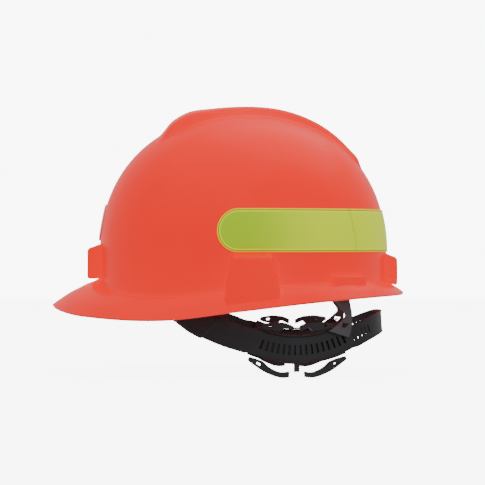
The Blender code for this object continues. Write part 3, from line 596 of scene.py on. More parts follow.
def rod(name: str, path: Array, across: Array, up: Array, half_across: float, half_up: float,
        sides: int = 20, power: float = 0.6, uv: bool = False) -> bpy.types.Object:
    """Closed strip or bead along a path, of a rounded section.

    Args:
        name: The piece's name.
        path: (n, 3) middle points.
        across: (n, 3) unit directions of the section's width.
        up: (n, 3) unit directions of its thickness.
        half_across: Half of its width.
        half_up: Half of its thickness.
        sides: Points in the section.
        power: Power of cosine and sine in the section; 1 is an ellipse and less is squarer.
        uv: Whether to lay a map along and across it, in metres.

    Returns:
        The object.
    """
    turn = np.linspace(0, 2 * math.pi, sides, endpoint=False)
    wide = np.sign(np.cos(turn)) * np.abs(np.cos(turn)) ** power * half_across
    high = np.sign(np.sin(turn)) * np.abs(np.sin(turn)) ** power * half_up
    rings = path[:, None] + across[:, None] * wide[:, None] + up[:, None] * high[:, None]
    coordinates = None
    if uv:
        run = run_along(path)
        coordinates = np.stack(np.broadcast_arrays(run[:, None], wide[None, :]), axis=-1)
    return outward(closed_loft(name, rings, coordinates, sharp=60.0))


def block(name: str, foot: Array, top: Array, rounding: float) -> bpy.types.Object:
    """Closed block between four foot corners and four top corners, with rounded edges."""
    corners = np.vstack([foot, top])
    faces = [[3, 2, 1, 0], [4, 5, 6, 7]] + [[i, (i + 1) % 4, 4 + (i + 1) % 4, 4 + i] for i in range(4)]
    thing = outward(new_object(name, corners, faces, sharp=30.0))
    soften(thing, rounding, segments=4, angle=20.0)
    return applied(thing)


# ---------------------------------------------------------------- shell

@dataclass(frozen=True)
class EndLug:
    """Lug at one end of the shell: which end, where its face is, and its heights at the wall and the face."""

    name: str
    sign: int
    face: float
    foot: tuple[float, float]
    top: tuple[float, float]


@dataclass
class Shell:
    """The moulded shell with its crown ridge, brim, peak, lugs, accessory slots and hanger pockets."""

    half_width: float = 102.0 * MM
    half_length: float = 117.5 * MM
    centre_y: float = -1.5 * MM
    base_z: float = 50.0 * MM
    height: float = 115.0 * MM
    exponent: float = 2.2
    wall: float = 2.5 * MM
    columns: int = 300
    dome_rows: int = 84
    brim_steps: int = 5
    side_brim: float = 12.5 * MM
    peak_extra: float = 26.5 * MM
    rear_extra: float = 1.8 * MM
    brim_edge: Knots = ((0, 9.5), (30, 3.0), (62, 0.6), (90, 8.0), (112, 13.7), (180, 19.4))
    brim_rise: Knots = ((0, 21.5), (40, 20.0), (90, 18.5), (140, 12.0), (180, 8.5))
    ridge_height: Knots = ((-71, 0.0), (-60, 6.2), (-50, 8.3), (-27, 6.8), (40, 6.7), (71, 5.6), (86, 4.2),
                           (93, 3.6), (96, 0.0))
    ridge_half_width: Knots = ((-71, 34.0), (0, 24.0), (93, 13.0))
    ridge_run: Knots = ((-71, 9.0), (-50, 8.0), (0, 8.0), (60, 5.0), (96, 4.0))
    quarter_angles: tuple[float, float] = (45.8, 134.2)
    pocket_half: float = 17.0 * MM
    pocket_z: tuple[float, float] = (23.4 * MM, 33.6 * MM)
    pocket_depth: float = 10.1 * MM
    pocket_swell: tuple[float, float] = (-2.5 * MM, 4.5 * MM)
    tongue_back: float = 6.9 * MM
    tongue_half: float = 11.35 * MM
    tongue_gap: float = 1.45 * MM
    tongue_z: tuple[float, float] = (18.4 * MM, 32.1 * MM)
    end_lugs: Sequence[EndLug] = (EndLug("front", -1, 128.0, (31.0, 30.5), (60.0, 55.0)),
                                  EndLug("rear", 1, 123.8, (27.0, 25.5), (52.5, 47.5)))
    end_lug_half: float = 23.5 * MM
    end_lug_taper: float = 0.93
    side_lug_face: float = 112.0 * MM
    side_lug_root: float = 0.965
    side_lug_foot: Knots = ((-16.3, 25.0), (27.7, 28.0), (27.7, 15.6), (-16.3, 10.6))
    side_lug_top: Knots = ((-10.4, 53.0), (21.3, 53.0), (21.3, 49.0), (-10.4, 49.0))
    slot_corners: Knots = ((104.0, -8.0), (109.2, -8.0), (109.2, 19.0), (104.0, 19.0))
    slot_z: tuple[float, float] = (4 * MM, 45 * MM)
    brim_profile: Knots = ((1.0, 0.0), (0.66, 0.42), (0.3, 0.76))
    last_turn: float = 89.2
    crease: float = 32.0

    def share_at(self, z: Array) -> Array:
        """Share of the plan outline at heights on the dome."""
        sine = np.clip((np.asarray(z) - self.base_z) / self.height, 0, 1) ** (self.exponent / 2)
        return np.sqrt(1 - sine**2) ** (2 / self.exponent)

    def plan(self, degrees: Array, share: Array = 1.0, extra: Array = 0.0) -> tuple[Array, Array]:
        """X and Y at degrees round from the front, at a share of the outline and an extra width."""
        turn = np.radians(degrees)
        return ((self.half_width * share + extra) * np.sin(turn),
                self.centre_y - (self.half_length * share + extra) * np.cos(turn))

    def on_dome(self, degrees: Array, z: Array, off: Array = 0.0) -> Array:
        """Points of the dome at degrees round from the front and heights, moved a distance off it."""
        degrees, z, off = np.broadcast_arrays(degrees, z, off)
        x, y = self.plan(degrees, self.share_at(z))
        rise = np.maximum(z - self.base_z, 0) / self.height**2
        ahead = (y - self.centre_y) / self.half_length**2
        normal = unit(np.stack([x / self.half_width**2, ahead, rise], axis=-1))
        return np.stack([x, y, z], axis=-1) + normal * off[..., None]

    def ridge(self, x: Array, y: Array) -> Array:
        """Lift of the crown ridge above the dome."""
        beyond = (np.abs(x) / MM - through(self.ridge_half_width, y / MM)) / through(self.ridge_run, y / MM)
        return through(self.ridge_height, y / MM) * MM * (1 - smooth(beyond + 0.5))

    def frame_at(self, degrees: float, side: int) -> tuple[Array, Array, Array]:
        """Point of the wall's foot with its outward normal and rearward tangent, at degrees on one side."""
        x, y = self.plan(degrees)
        normal = unit(np.array([x / self.half_width**2, (y - self.centre_y) / self.half_length**2, 0.0]))
        tangent = np.array([-normal[1], normal[0], 0.0])
        mirror = np.array([side, 1, 1])
        return np.array([x, y, 0.0]) * mirror, normal * mirror, tangent * mirror

    def skin(self) -> Array:
        """Grid of the outer surface, from the brim's edge up to just under the apex."""
        degrees = np.arange(self.columns) * 360.0 / self.columns
        from_front = 180.0 - np.abs(degrees - 180.0)
        facing = np.cos(np.radians(degrees))
        edge = through(self.brim_edge, from_front) * MM
        rise = through(self.brim_rise, from_front) * MM
        peak, rear = np.clip(facing, 0, 1) ** 3, np.clip(-facing, 0, 1)
        width = self.side_brim + self.peak_extra * peak + self.rear_extra * rear
        root = edge + rise
        levels = [(width * out, edge + rise * up) for out, up in self.brim_profile]
        levels += [(0.7 * MM, root), (0.2 * MM, (root + self.base_z) / 2), (0.0, self.base_z)]
        rings = [np.stack(np.broadcast_arrays(*self.plan(degrees, 1.0, extra), z), axis=-1)
                 for extra, z in levels]
        brim = refined(np.array(rings).reshape(len(rings), -1), self.brim_steps).reshape(-1, self.columns, 3)
        turn = np.radians(np.linspace(0, self.last_turn, self.dome_rows + 1))[1:, None]
        share = np.cos(turn) ** (2 / self.exponent)
        x, y = self.plan(degrees, share)
        z = self.base_z + self.height * np.sin(turn) ** (2 / self.exponent) + self.ridge(x, y)
        return np.concatenate([brim, np.stack([x, y, z], axis=-1)])

    def lugs(self) -> list[bpy.types.Object]:
        """Solid lugs and pocket walls that are joined to the shell."""
        made = []
        half, deep = self.end_lug_half, self.wall / 2
        reach = (self.half_length - deep) * math.sqrt(1 - (half / (self.half_width - deep)) ** 2)
        for lug in self.end_lugs:
            near, far = self.centre_y + lug.sign * reach, lug.sign * lug.face * MM
            corners = [np.array([(-h, near, z[0] * MM), (h, near, z[0] * MM), (h, far, z[1] * MM),
                                 (-h, far, z[1] * MM)])
                       for z, h in ((lug.foot, half), (lug.top, half * self.end_lug_taper))]
            made.append(block(lug.name + "_lug", *corners, rounding=2.2 * MM))
        for side in (-1, 1):
            near = (self.half_width - deep) * side * self.side_lug_root
            x = (near, near, self.side_lug_face * side, self.side_lug_face * side)
            foot, top = (np.column_stack([x, np.array(corners) * MM])
                         for corners in (self.side_lug_foot, self.side_lug_top))
            made.append(block("side_lug", foot, top, rounding=2.4 * MM))
            for degrees in self.quarter_angles:
                spot, normal, tangent = self.frame_at(degrees, side)
                depth, swell = -self.pocket_depth, self.pocket_swell[degrees > 90]
                ring = np.array([spot + tangent * a * self.pocket_half + normal * o for a, o in
                                 ((-1, depth), (1, depth), (1, swell), (-1, swell))])
                made.append(block("pocket", *(ring + [0, 0, z] for z in self.pocket_z), rounding=1.2 * MM))
        return made

    def slots(self) -> list[bpy.types.Object]:
        """Cutters for the accessory slots and the hanger pockets."""
        made = []
        for side in (-1, 1):
            ring = np.array([(x * side, y, 0) for x, y in self.slot_corners]) * MM
            made.append(block("slot", *(ring + [0, 0, z] for z in self.slot_z), rounding=0.8 * MM))
            for degrees in self.quarter_angles:
                spot, normal, tangent = self.frame_at(degrees, side)
                ring = np.array([spot + tangent * a * self.tongue_half
                                 - normal * (self.tongue_back + o * self.tongue_gap)
                                 for a, o in ((-1, 1), (1, 1), (1, -1), (-1, -1))])
                made.append(block("slot", *(ring + [0, 0, z] for z in self.tongue_z), rounding=0.4 * MM))
        return made

    def build(self, finish: bpy.types.Material) -> None:
        """Form the skin, give it its wall, join the lugs and cut the slots."""
        skin = self.skin()
        rows, columns = skin.shape[:2]
        apex = [0.0, self.centre_y, self.base_z + self.height + float(self.ridge(0.0, self.centre_y))]
        last = (rows - 1) * columns
        cap = [[last + i, last + (i + 1) % columns, rows * columns] for i in range(columns)]
        faces = quads(rows, columns, round_it=True).tolist() + cap
        shell = new_object("shell_form", np.vstack([skin.reshape(-1, 3), apex]), faces)
        thicken(shell, self.wall, offset=-1.0)
        for operation, tools in (("UNION", self.lugs()), ("DIFFERENCE", self.slots())):
            for tool in tools:
                step = shell.modifiers.new(tool.name, "BOOLEAN")
                step.operation = operation
                step.solver = "EXACT"
                step.object = tool
            applied(shell)
            for tool in tools:
                bpy.data.objects.remove(tool, do_unlink=True)
        shell.data.shade_smooth()
        shell.data.set_sharp_from_angle(angle=math.radians(self.crease))
        set_in(shell, finish, nodes=["shell"])


@dataclass
class Tape:
    """Reflective stripes on the shell: two sides with round front ends, and the rear one."""

    shell: Shell
    low: float = 52.5 * MM
    high: float = 86.5 * MM
    front: float = 80.0
    seam: float = 138.2
    lean: float = 1.3
    thickness: float = 0.55 * MM
    side_off: float = 0.15 * MM
    rear_off: float = 0.35 * MM
    seam_gap: float = 0.14

    def strip(self, name: str, degrees: Array, v: Array, nose: bool, off: float,
              finish: bpy.types.Material) -> None:
        """Lay a strip.

        Args:
            name: The CAD node that it stands for.
            degrees: (columns, rows) degrees round from the front.
            v: (columns, rows) share of the half height, which runs from -1 to 1.
            nose: Whether its first end is a half round.
            off: Distance off the shell.
            finish: Its material.
        """
        radius = (self.high - self.low) / 2
        around = 180 - np.abs(degrees - 180)
        run = (around - self.front) * math.pi * self.shell.half_length / 180
        up = v * radius
        nose_half = np.sqrt(np.maximum(radius**2 - np.maximum(radius - run, 0) ** 2, 0)) if nose else radius
        up = up * (nose_half / radius)
        inset = radius - np.hypot(np.maximum(radius - run, 0) if nose else 0.0, up)
        points = self.shell.on_dome(degrees, (self.low + self.high) / 2 + up, off)
        thing = surface(name + "_tape", points, uv=np.stack([run, up], axis=-1))
        layer = thing.data.attributes.new("inset", "FLOAT", "POINT")
        layer.data.foreach_set("value", inset.astype(np.float32).ravel())
        thicken(thing, self.thickness, offset=-1.0)
        set_in(thing, finish, nodes=[name])

    def build(self, finish: bpy.types.Material) -> None:
        """Lay the three stripes."""
        v = np.linspace(-1, 1, 29)
        radius = (self.high - self.low) / 2
        per_degree = math.pi * self.shell.half_length / 180
        nose = radius * (1 - np.cos(np.linspace(0.1, math.pi / 2, 18))) / per_degree
        body = np.linspace(nose[-1], self.seam - self.front, 60)[1:]
        u = (np.concatenate([nose, body]) / (self.seam - self.front))[:, None]
        end = self.seam - self.lean * v
        left = self.front + (end - self.front) * u
        across = np.broadcast_to(v, left.shape)
        self.strip("stripe_left", left, across, True, self.side_off, finish)
        self.strip("stripe_right", 360 - left[:, ::-1], across[:, ::-1], True, self.side_off, finish)
        start = end + self.seam_gap
        rear = start + (360 - 2 * start) * np.linspace(0, 1, 90)[:, None]
        self.strip("stripe_rear", rear, np.broadcast_to(v, rear.shape), False, self.rear_off, finish)


@dataclass
class Badges:
    """A blank round badge on the brow and a blank label on the rear lug."""

    shell: Shell
    radius: float = 15.0 * MM
    centre_z: float = 76.5 * MM
    profile: Knots = ((0.01, 0.95), (0.3, 0.95), (0.6, 0.95), (0.8, 0.95), (0.86, 1.25), (0.9, 1.35),
                      (0.96, 1.35), (0.99, 1.2), (1.0, 0.9), (0.99, 0.4), (0.96, 0.3), (0.6, 0.3),
                      (0.01, 0.3))
    label_corners: Knots = ((-11.0, 124.0), (11.0, 124.0), (11.0, 124.55), (-11.0, 124.55))
    label_z: tuple[float, float] = (33.5 * MM, 42.5 * MM)

    def build(self, badge: bpy.types.Material, label: bpy.types.Material) -> None:
        """Turn the badge on its profile, bent to the dome, and set the label."""
        share, depth = np.array(self.profile).T
        depth = depth * MM
        turn = np.linspace(0, 2 * math.pi, 72, endpoint=False)
        x = self.radius * share[:, None] * np.cos(turn)
        z = self.centre_z + self.radius * share[:, None] * np.sin(turn)
        outline = self.shell.share_at(z)
        inside = np.sqrt(1 - (x / self.shell.half_width / outline) ** 2)
        y = self.shell.centre_y - outline * self.shell.half_length * inside - depth[:, None]
        disc = outward(closed_loft("brow_badge", np.stack([x, y, z], axis=-1), sharp=50.0))
        set_in(disc, badge, nodes=["front_badge"])
        ring = np.array([(x, y, 0) for x, y in self.label_corners]) * MM
        plate = block("blank_label", *(ring + [0, 0, z] for z in self.label_z), rounding=0.14 * MM)
        set_in(plate, label, nodes=["rear_label"])


# ---------------------------------------------------------------- headband

@dataclass
class Band:
    """Paths of the headband, and the band itself with its two ladder arms."""

    centre_y: float = 8.0 * MM
    half_width: float = 77.0 * MM
    half_length: float = 103.0 * MM
    thickness: float = 1.8 * MM
    middle: Knots = ((-95, 15.0), (-75, 14.5), (-58, 12.5), (-44.6, 2.5), (-25.8, -7.0), (-7, -14.0),
                     (5, -17.4))
    height: Knots = ((-95, 30.0), (-58, 25.0), (-44, 23.5), (-7, 21.5), (6, 20.0))
    rear_length: float = 105.2 * MM
    rear_power: float = 2.6
    arc_y: float = 40.6 * MM
    arc_z: float = 60.8 * MM
    radius: float = 85.3 * MM
    arm_half: float = 10.0 * MM
    arm_end_y: float = 83.0 * MM
    slots: int = 16
    pitch: float = 2.95
    shift: float = 3.4
    slot_share: float = 0.4
    slot_half: float = 3.8 * MM

    def arm_x(self, y: Array) -> Array:
        """Half spacing of the arms at places along the helmet."""
        share = np.maximum(np.asarray(y) - self.centre_y, 0) / self.rear_length
        return self.half_width * (1 - share**self.rear_power) ** (1 / self.rear_power)

    def arc(self, degrees: Array, radius: Array, offset: Array = 0.0, side: int = 1) -> Array:
        """Points on an arm at degrees back from straight down and radii, offset outwards from its middle."""
        degrees, radius, offset = np.broadcast_arrays(degrees, radius, offset)
        turn = np.radians(degrees)
        x = (self.arm_x(self.arc_y + self.radius * np.sin(turn)) + offset) * side
        return np.stack([x, self.arc_y + radius * np.sin(turn), self.arc_z - radius * np.cos(turn)], axis=-1)

    def brow(self, degrees: Array, up: Array, out: Array = 0.0) -> Array:
        """Points of the front half at degrees round, shares of the half height up, and distances out."""
        degrees, up, out = np.broadcast_arrays(degrees, up, out)
        turn = np.radians(degrees)
        x = self.half_width * np.sin(turn)
        y = self.centre_y - self.half_length * np.cos(turn)
        normal = unit(np.stack([np.sin(turn) / self.half_width, -np.cos(turn) / self.half_length], axis=-1))
        z = (through(self.middle, y / MM) + through(self.height, y / MM) / 2 * up) * MM
        return np.stack([x + normal[..., 0] * out, y + normal[..., 1] * out, z], axis=-1)

    def build(self, finish: bpy.types.Material) -> None:
        """Build the slotted band and the raised rims of its arms."""
        slot = self.slot_half / self.arm_half
        up = np.array([-1, -0.94, -0.8, -0.6, -slot, slot, 0.6, 0.8, 0.94, 1])
        front = self.brow(np.linspace(0, 85, 86)[:, None], up)
        first = self.shift - self.pitch * (self.slots - 1) / 2
        half = self.pitch * self.slot_share / 2
        edges = (first + self.pitch * np.arange(self.slots)[:, None] + [-half, half]).ravel()
        rear = math.degrees(math.asin((self.arm_end_y - self.arc_y) / self.radius))
        tail = np.linspace(edges[-1] + 1.0, rear + 1.2, 14)
        degrees = np.concatenate([[edges[0] - 4.5, edges[0] - 1.8], edges, tail])
        from_end = np.clip((tail[-1] + 0.02 - degrees) / 5.4, 0, 1)
        pinch = np.sqrt(1 - (1 - from_end) ** 2)
        arm = self.arc(degrees[:, None], self.radius - self.arm_half * up * pinch[:, None])
        grid = np.concatenate([front, arm])
        left = np.ones((len(grid) - 1, len(up) - 1), dtype=bool)
        left[len(front) + 2 + 2 * np.arange(self.slots), 4] = False
        both = np.concatenate([grid[:0:-1] * [-1, 1, 1], grid])
        keep = np.concatenate([left[::-1], left])
        band = surface("headband_strap", both, keep=keep)
        thicken(band, self.thickness)
        soften(band, 0.32 * MM)
        set_in(band, finish, nodes=["headband"])
        run = np.linspace(edges[0] - 1.0, tail[-3], 90)
        for side, word in ((1, "left"), (-1, "right")):
            for edge in (-1, 1):
                path = self.arc(run, self.radius + edge * (self.arm_half - 0.75 * MM), 0.75 * MM, side)
                out = np.broadcast_to([float(side), 0, 0], path.shape)
                ahead = unit(np.gradient(path, axis=0))
                wide = unit(np.cross(out, ahead))
                rim = rod(f"{word}_arm_rim", path, wide, out, 0.7 * MM, 0.42 * MM, 12, 0.8)
                set_in(rim, finish)


@dataclass
class NapeStrap:
    """The strap that slides inside the arms and runs round the nape."""

    band: Band
    start: float = -19.0
    half: float = 8.6 * MM
    thickness: float = 1.8 * MM
    start_x: float = 74.85 * MM
    rear_y: float = 111.0 * MM
    middle: Knots = ((83, -15.3), (94, -10.8), (104, -6.2), (111, -3.7))

    def path(self, turns: Array) -> tuple[Array, Array]:
        """Middle points and upward directions at plan angles, from 0 at the side to 90 at the nape."""
        length = self.rear_y - self.band.centre_y
        angle = np.radians(turns)
        power = 2 / self.band.rear_power
        x = self.start_x * np.clip(np.cos(angle), 0, 1) ** power
        y = self.band.centre_y + length * np.sin(angle) ** power
        on_arc = self.band.arc_z - np.sqrt(self.band.radius**2 - (y - self.band.arc_y) ** 2)
        z = on_arc + (through(self.middle, y / MM) * MM - on_arc) * smooth((y - 68 * MM) / (18 * MM))
        lean = np.arcsin((np.minimum(y, 76 * MM) - self.band.arc_y) / self.band.radius)
        lean = lean * np.cos(np.radians(np.maximum(turns - 34, 0) * 90 / 56))
        return np.stack([x, y, z], axis=-1), np.stack([0 * x, -np.sin(lean), np.cos(lean)], axis=-1)

    def build(self, finish: bpy.types.Material) -> None:
        """Build the strap with its ladder slots and raised rims."""
        band = self.band
        start_y = band.arc_y + band.radius * math.sin(math.radians(self.start))
        share = (start_y - band.centre_y) / (self.rear_y - band.centre_y)
        first = math.degrees(math.asin(share ** (band.rear_power / 2)))
        slots = (43.0 + 3.4 * np.arange(5)[:, None] + [0.0, 1.4]).ravel()
        turns = np.concatenate([first + np.array([0, 0.2, 0.5, 1.0, 1.7]), np.arange(6, 42.5, 1.0), slots,
                                np.linspace(60, 89.99, 40)])
        spot, up = self.path(turns)
        round_end = np.sqrt(1 - (1 - np.clip((turns - first + 0.3) / 2.0, 0, 1)) ** 2)
        rows = np.array([-1, -0.93, -0.75, -0.55, -0.36, 0.36, 0.55, 0.75, 0.93, 1])
        grid = spot[:, None] + up[:, None] * (rows * round_end[:, None] * self.half)[..., None]
        keep = np.ones((len(turns) - 1, len(rows) - 1), dtype=bool)
        keep[42 + 2 * np.arange(5), 4] = False
        both = np.concatenate([grid, grid[-2::-1] * [-1, 1, 1]])
        strap = surface("nape_strap_form", both, keep=np.concatenate([keep, keep[::-1]]))
        thicken(strap, self.thickness)
        soften(strap, 0.32 * MM)
        set_in(strap, finish, "nape_strap", ["nape_strap"])
        turns = np.linspace(38, 90, 70)
        spot, up = self.path(np.minimum(turns, 89.99))
        spot, up = np.concatenate([spot, spot[-2::-1] * [-1, 1, 1]]), np.concatenate([up, up[-2::-1]])
        out = unit(np.cross(unit(np.gradient(spot, axis=0)), up))
        out = out * np.sign(np.einsum("ij,ij->i", out, spot - [0, band.arc_y, 0]))[:, None]
        for edge in (-1, 1):
            path = spot + up * edge * (self.half - 0.8 * MM) + out * self.thickness * 0.42
            rim = rod("nape_rim", path, up, out, 0.75 * MM, 0.5 * MM, 12, 0.8)
            set_in(rim, finish, "nape_strap")


@dataclass
class Sweatband:
    """Padded brow band: a sleeve folded under the headband, crowned on the inside, with sewn edges."""

    band: Band
    pad: float = 4.5 * MM
    skin: float = 1.1 * MM
    end_y: float = -25.0 * MM
    hanger: float = 38.5
    thread_radius: float = 0.22 * MM

    def build(self, finish: bpy.types.Material, thread: bpy.types.Material) -> None:
        """Form the sleeve and sew its edges."""
        band = self.band
        last = math.degrees(math.acos((band.centre_y - self.end_y) / band.half_length))
        turns = np.linspace(-last, last, 151)
        gap = band.thickness / 2 + 0.35 * MM
        flap = 0.92 - 1.15 * np.exp(-((np.abs(turns) - self.hanger) / 9.0) ** 2)
        puff = self.pad * (0.86 + 0.14 * np.cos(np.radians(turns * 7.0)))
        still, edge = np.zeros_like(turns), self.skin
        section = [(gap, flap), (gap, still - 0.4), (gap, still - 1.02), (-gap, still - 1.02),
                   (-gap, still + 0.2), (-gap, still + 0.93),
                   (-gap - 0.4 * puff, still + 1.0), (-gap - 0.85 * puff, still + 0.78),
                   (-gap - puff * 1.12, still + 0.35), (-gap - puff * 1.15, still - 0.15),
                   (-gap - puff * 1.0, still - 0.62), (-gap - puff * 0.62, still - 0.95),
                   (-gap * 0.8, still - 1.02 - 0.11), (gap, still - 1.02 - 0.11), (gap + edge, still - 0.98),
                   (gap + edge * 1.35, still - 0.5), (gap + edge * 1.3, (flap - 0.5) / 2), (gap + edge, flap)]
        out = np.stack([np.broadcast_to(o, turns.shape) for o, _ in section], axis=1)
        up = np.stack([u for _, u in section], axis=1)
        slant = 1 + 0.075 * np.clip(up, -1.1, 1) * (np.abs(turns)[:, None] / last) ** 8
        rings = band.brow(turns[:, None] * slant, up, out)
        run = turns[:, None] * math.pi * band.half_length / 180 + 0 * up
        girth = np.broadcast_to(np.arange(len(section)) * 2.6 * MM, up.shape)
        sleeve = outward(closed_loft("brow_pad", rings, np.stack([run, girth], axis=-1), sharp=180.0))
        smoother = sleeve.modifiers.new("soft", "SUBSURF")
        smoother.levels = 1
        smoother.render_levels = 1
        set_in(sleeve, finish, nodes=["sweatband"])
        for side in (-1, 1):
            ups = np.linspace(-0.85, 0.7, 40)
            seam = band.brow(side * (last - 1.3) * (1 + 0.07 * ups), ups, gap + edge * 1.35)
            ahead = unit(seam * [1, 1, 0] - [0, band.centre_y, 0])
            end_seam = stitches("brow_end_seam", seam, ahead, 1.8 * MM, 1.0 * MM, self.thread_radius)
            set_in(end_seam, thread)
            low = band.brow(side * np.linspace(1, last - 2.5, 160), -0.72, gap + edge * 1.33)
            ahead = unit(low * [1, 1, 0] - [0, band.centre_y, 0])
            low_seam = stitches("brow_low_seam", low, ahead, 2.2 * MM, 1.2 * MM, self.thread_radius)
            set_in(low_seam, thread)


@dataclass
class Adjuster:
    """The guide on each arm, with its keeper and centre post, and its four release wings."""

    band: Band
    half_angle: float = 24.0
    plate: float = 1.2 * MM
    keeper_end: float = -16.0
    strap_room: float = 1.8 * MM + 1.6 * MM
    rail_gap: float = 0.35 * MM
    wing_width: float = 8.0 * MM
    low_rail_share: float = 0.6
    upper: Sequence[tuple[float, float, float]] = (
        (22.5, 70.2, 72.9), (19.0, 67.8, 72.9), (15.0, 65.6, 72.2), (10.5, 64.9, 71.5), (8.0, 64.9, 68.4),
        (5.0, 65.6, 69.2), (2.4, 66.9, 70.3))
    lower: Sequence[tuple[float, float, float]] = (
        (22.5, 98.0, 100.8), (19.0, 97.6, 102.6), (15.5, 98.2, 104.6), (12.0, 101.4, 106.2),
        (7.0, 103.6, 107.4), (3.4, 102.4, 106.6))

    def bar(self, name: str, side: int, degrees: Array, radii: tuple[float, Array],
            offsets: tuple[float, float], finish: bpy.types.Material, nodes: Sequence[str] = ()) -> None:
        """Bar along the arc between two radii and two offsets from the arm's middle."""
        near, far = np.broadcast_arrays(*radii, degrees)[:2]
        ring = [(near, offsets[0]), (near, offsets[1]), (far, offsets[1]), (far, offsets[0])]
        rings = np.stack([self.band.arc(degrees, radius, offset, side) for radius, offset in ring], axis=1)
        thing = outward(closed_loft(name, rings, sharp=30.0))
        soften(thing, 0.3 * MM, angle=50.0)
        set_in(thing, finish, nodes=nodes)

    def wing(self, name: str, side: int, direction: int, level: str, finish: bpy.types.Material) -> None:
        """Release wing with a toothed grip at its free end and a small eye at its root."""
        rows = refined(np.array(self.upper if level == "upper" else self.lower), 12)
        degrees, near, far = rows.T
        teeth = 0.32 * np.abs((degrees / 0.95) % 1 * 2 - 1) * smooth((11.0 - degrees) / 1.5)
        near, far = (near - teeth, far) if level == "upper" else (near, far + teeth)
        middle = np.abs(degrees - 17.5) < 1.15
        across = np.array([0.0, 0.1, 0.34, 0.66, 0.9, 1.0])
        radius = (near[:, None] + (far - near)[:, None] * across) * MM
        grid = self.band.arc(degrees[:, None] * direction, radius, -0.4 * MM, side)
        keep = np.ones((len(rows) - 1, len(across) - 1), dtype=bool)
        keep[(middle[1:] & middle[:-1]), 2] = False
        thing = surface(name + "_form", grid, keep=keep, sharp=35.0)
        thicken(thing, self.wing_width)
        soften(thing, 0.28 * MM, angle=50.0)
        set_in(thing, finish, name, [name])

    def build(self, finish: bpy.types.Material) -> None:
        """Build both adjusters."""
        band = self.band
        inner = -(band.thickness / 2 + self.rail_gap + self.strap_room)
        outer = band.thickness / 2 - 0.3 * MM
        top = band.radius - band.arm_half - self.rail_gap
        low = band.radius + band.arm_half + self.rail_gap
        whole = np.linspace(-self.half_angle, self.half_angle, 73)
        keeper = np.linspace(-self.half_angle, self.keeper_end, 13)
        post = np.linspace(-1.25, 1.25, 26)
        ribs = 6.0 * MM + low + self.plate - 0.5 * MM * (np.arange(26) // 3 % 2)
        for side, word in ((1, "left"), (-1, "right")):
            rails = (inner - self.plate, outer)
            self.bar(f"{word}_top_rail", side, whole, (top - self.plate, top), rails, finish,
                     ["adjuster_frame_" + word])
            low_rail = (low, low + self.plate * self.low_rail_share)
            self.bar(f"{word}_low_rail", side, whole, low_rail, rails, finish)
            self.bar(f"{word}_keeper", side, keeper, (top - self.plate, low + self.plate),
                     (inner - self.plate, inner), finish)
            self.bar(f"{word}_post", side, post, (low + self.plate * 0.5, ribs), rails, finish)
            for level in ("upper", "lower"):
                for end, direction in (("front", -1), ("rear", 1)):
                    self.wing(f"{word}_{level}_{end}_wing", side, direction, level, finish)


# ---------------------------------------------------------------- hangers and straps

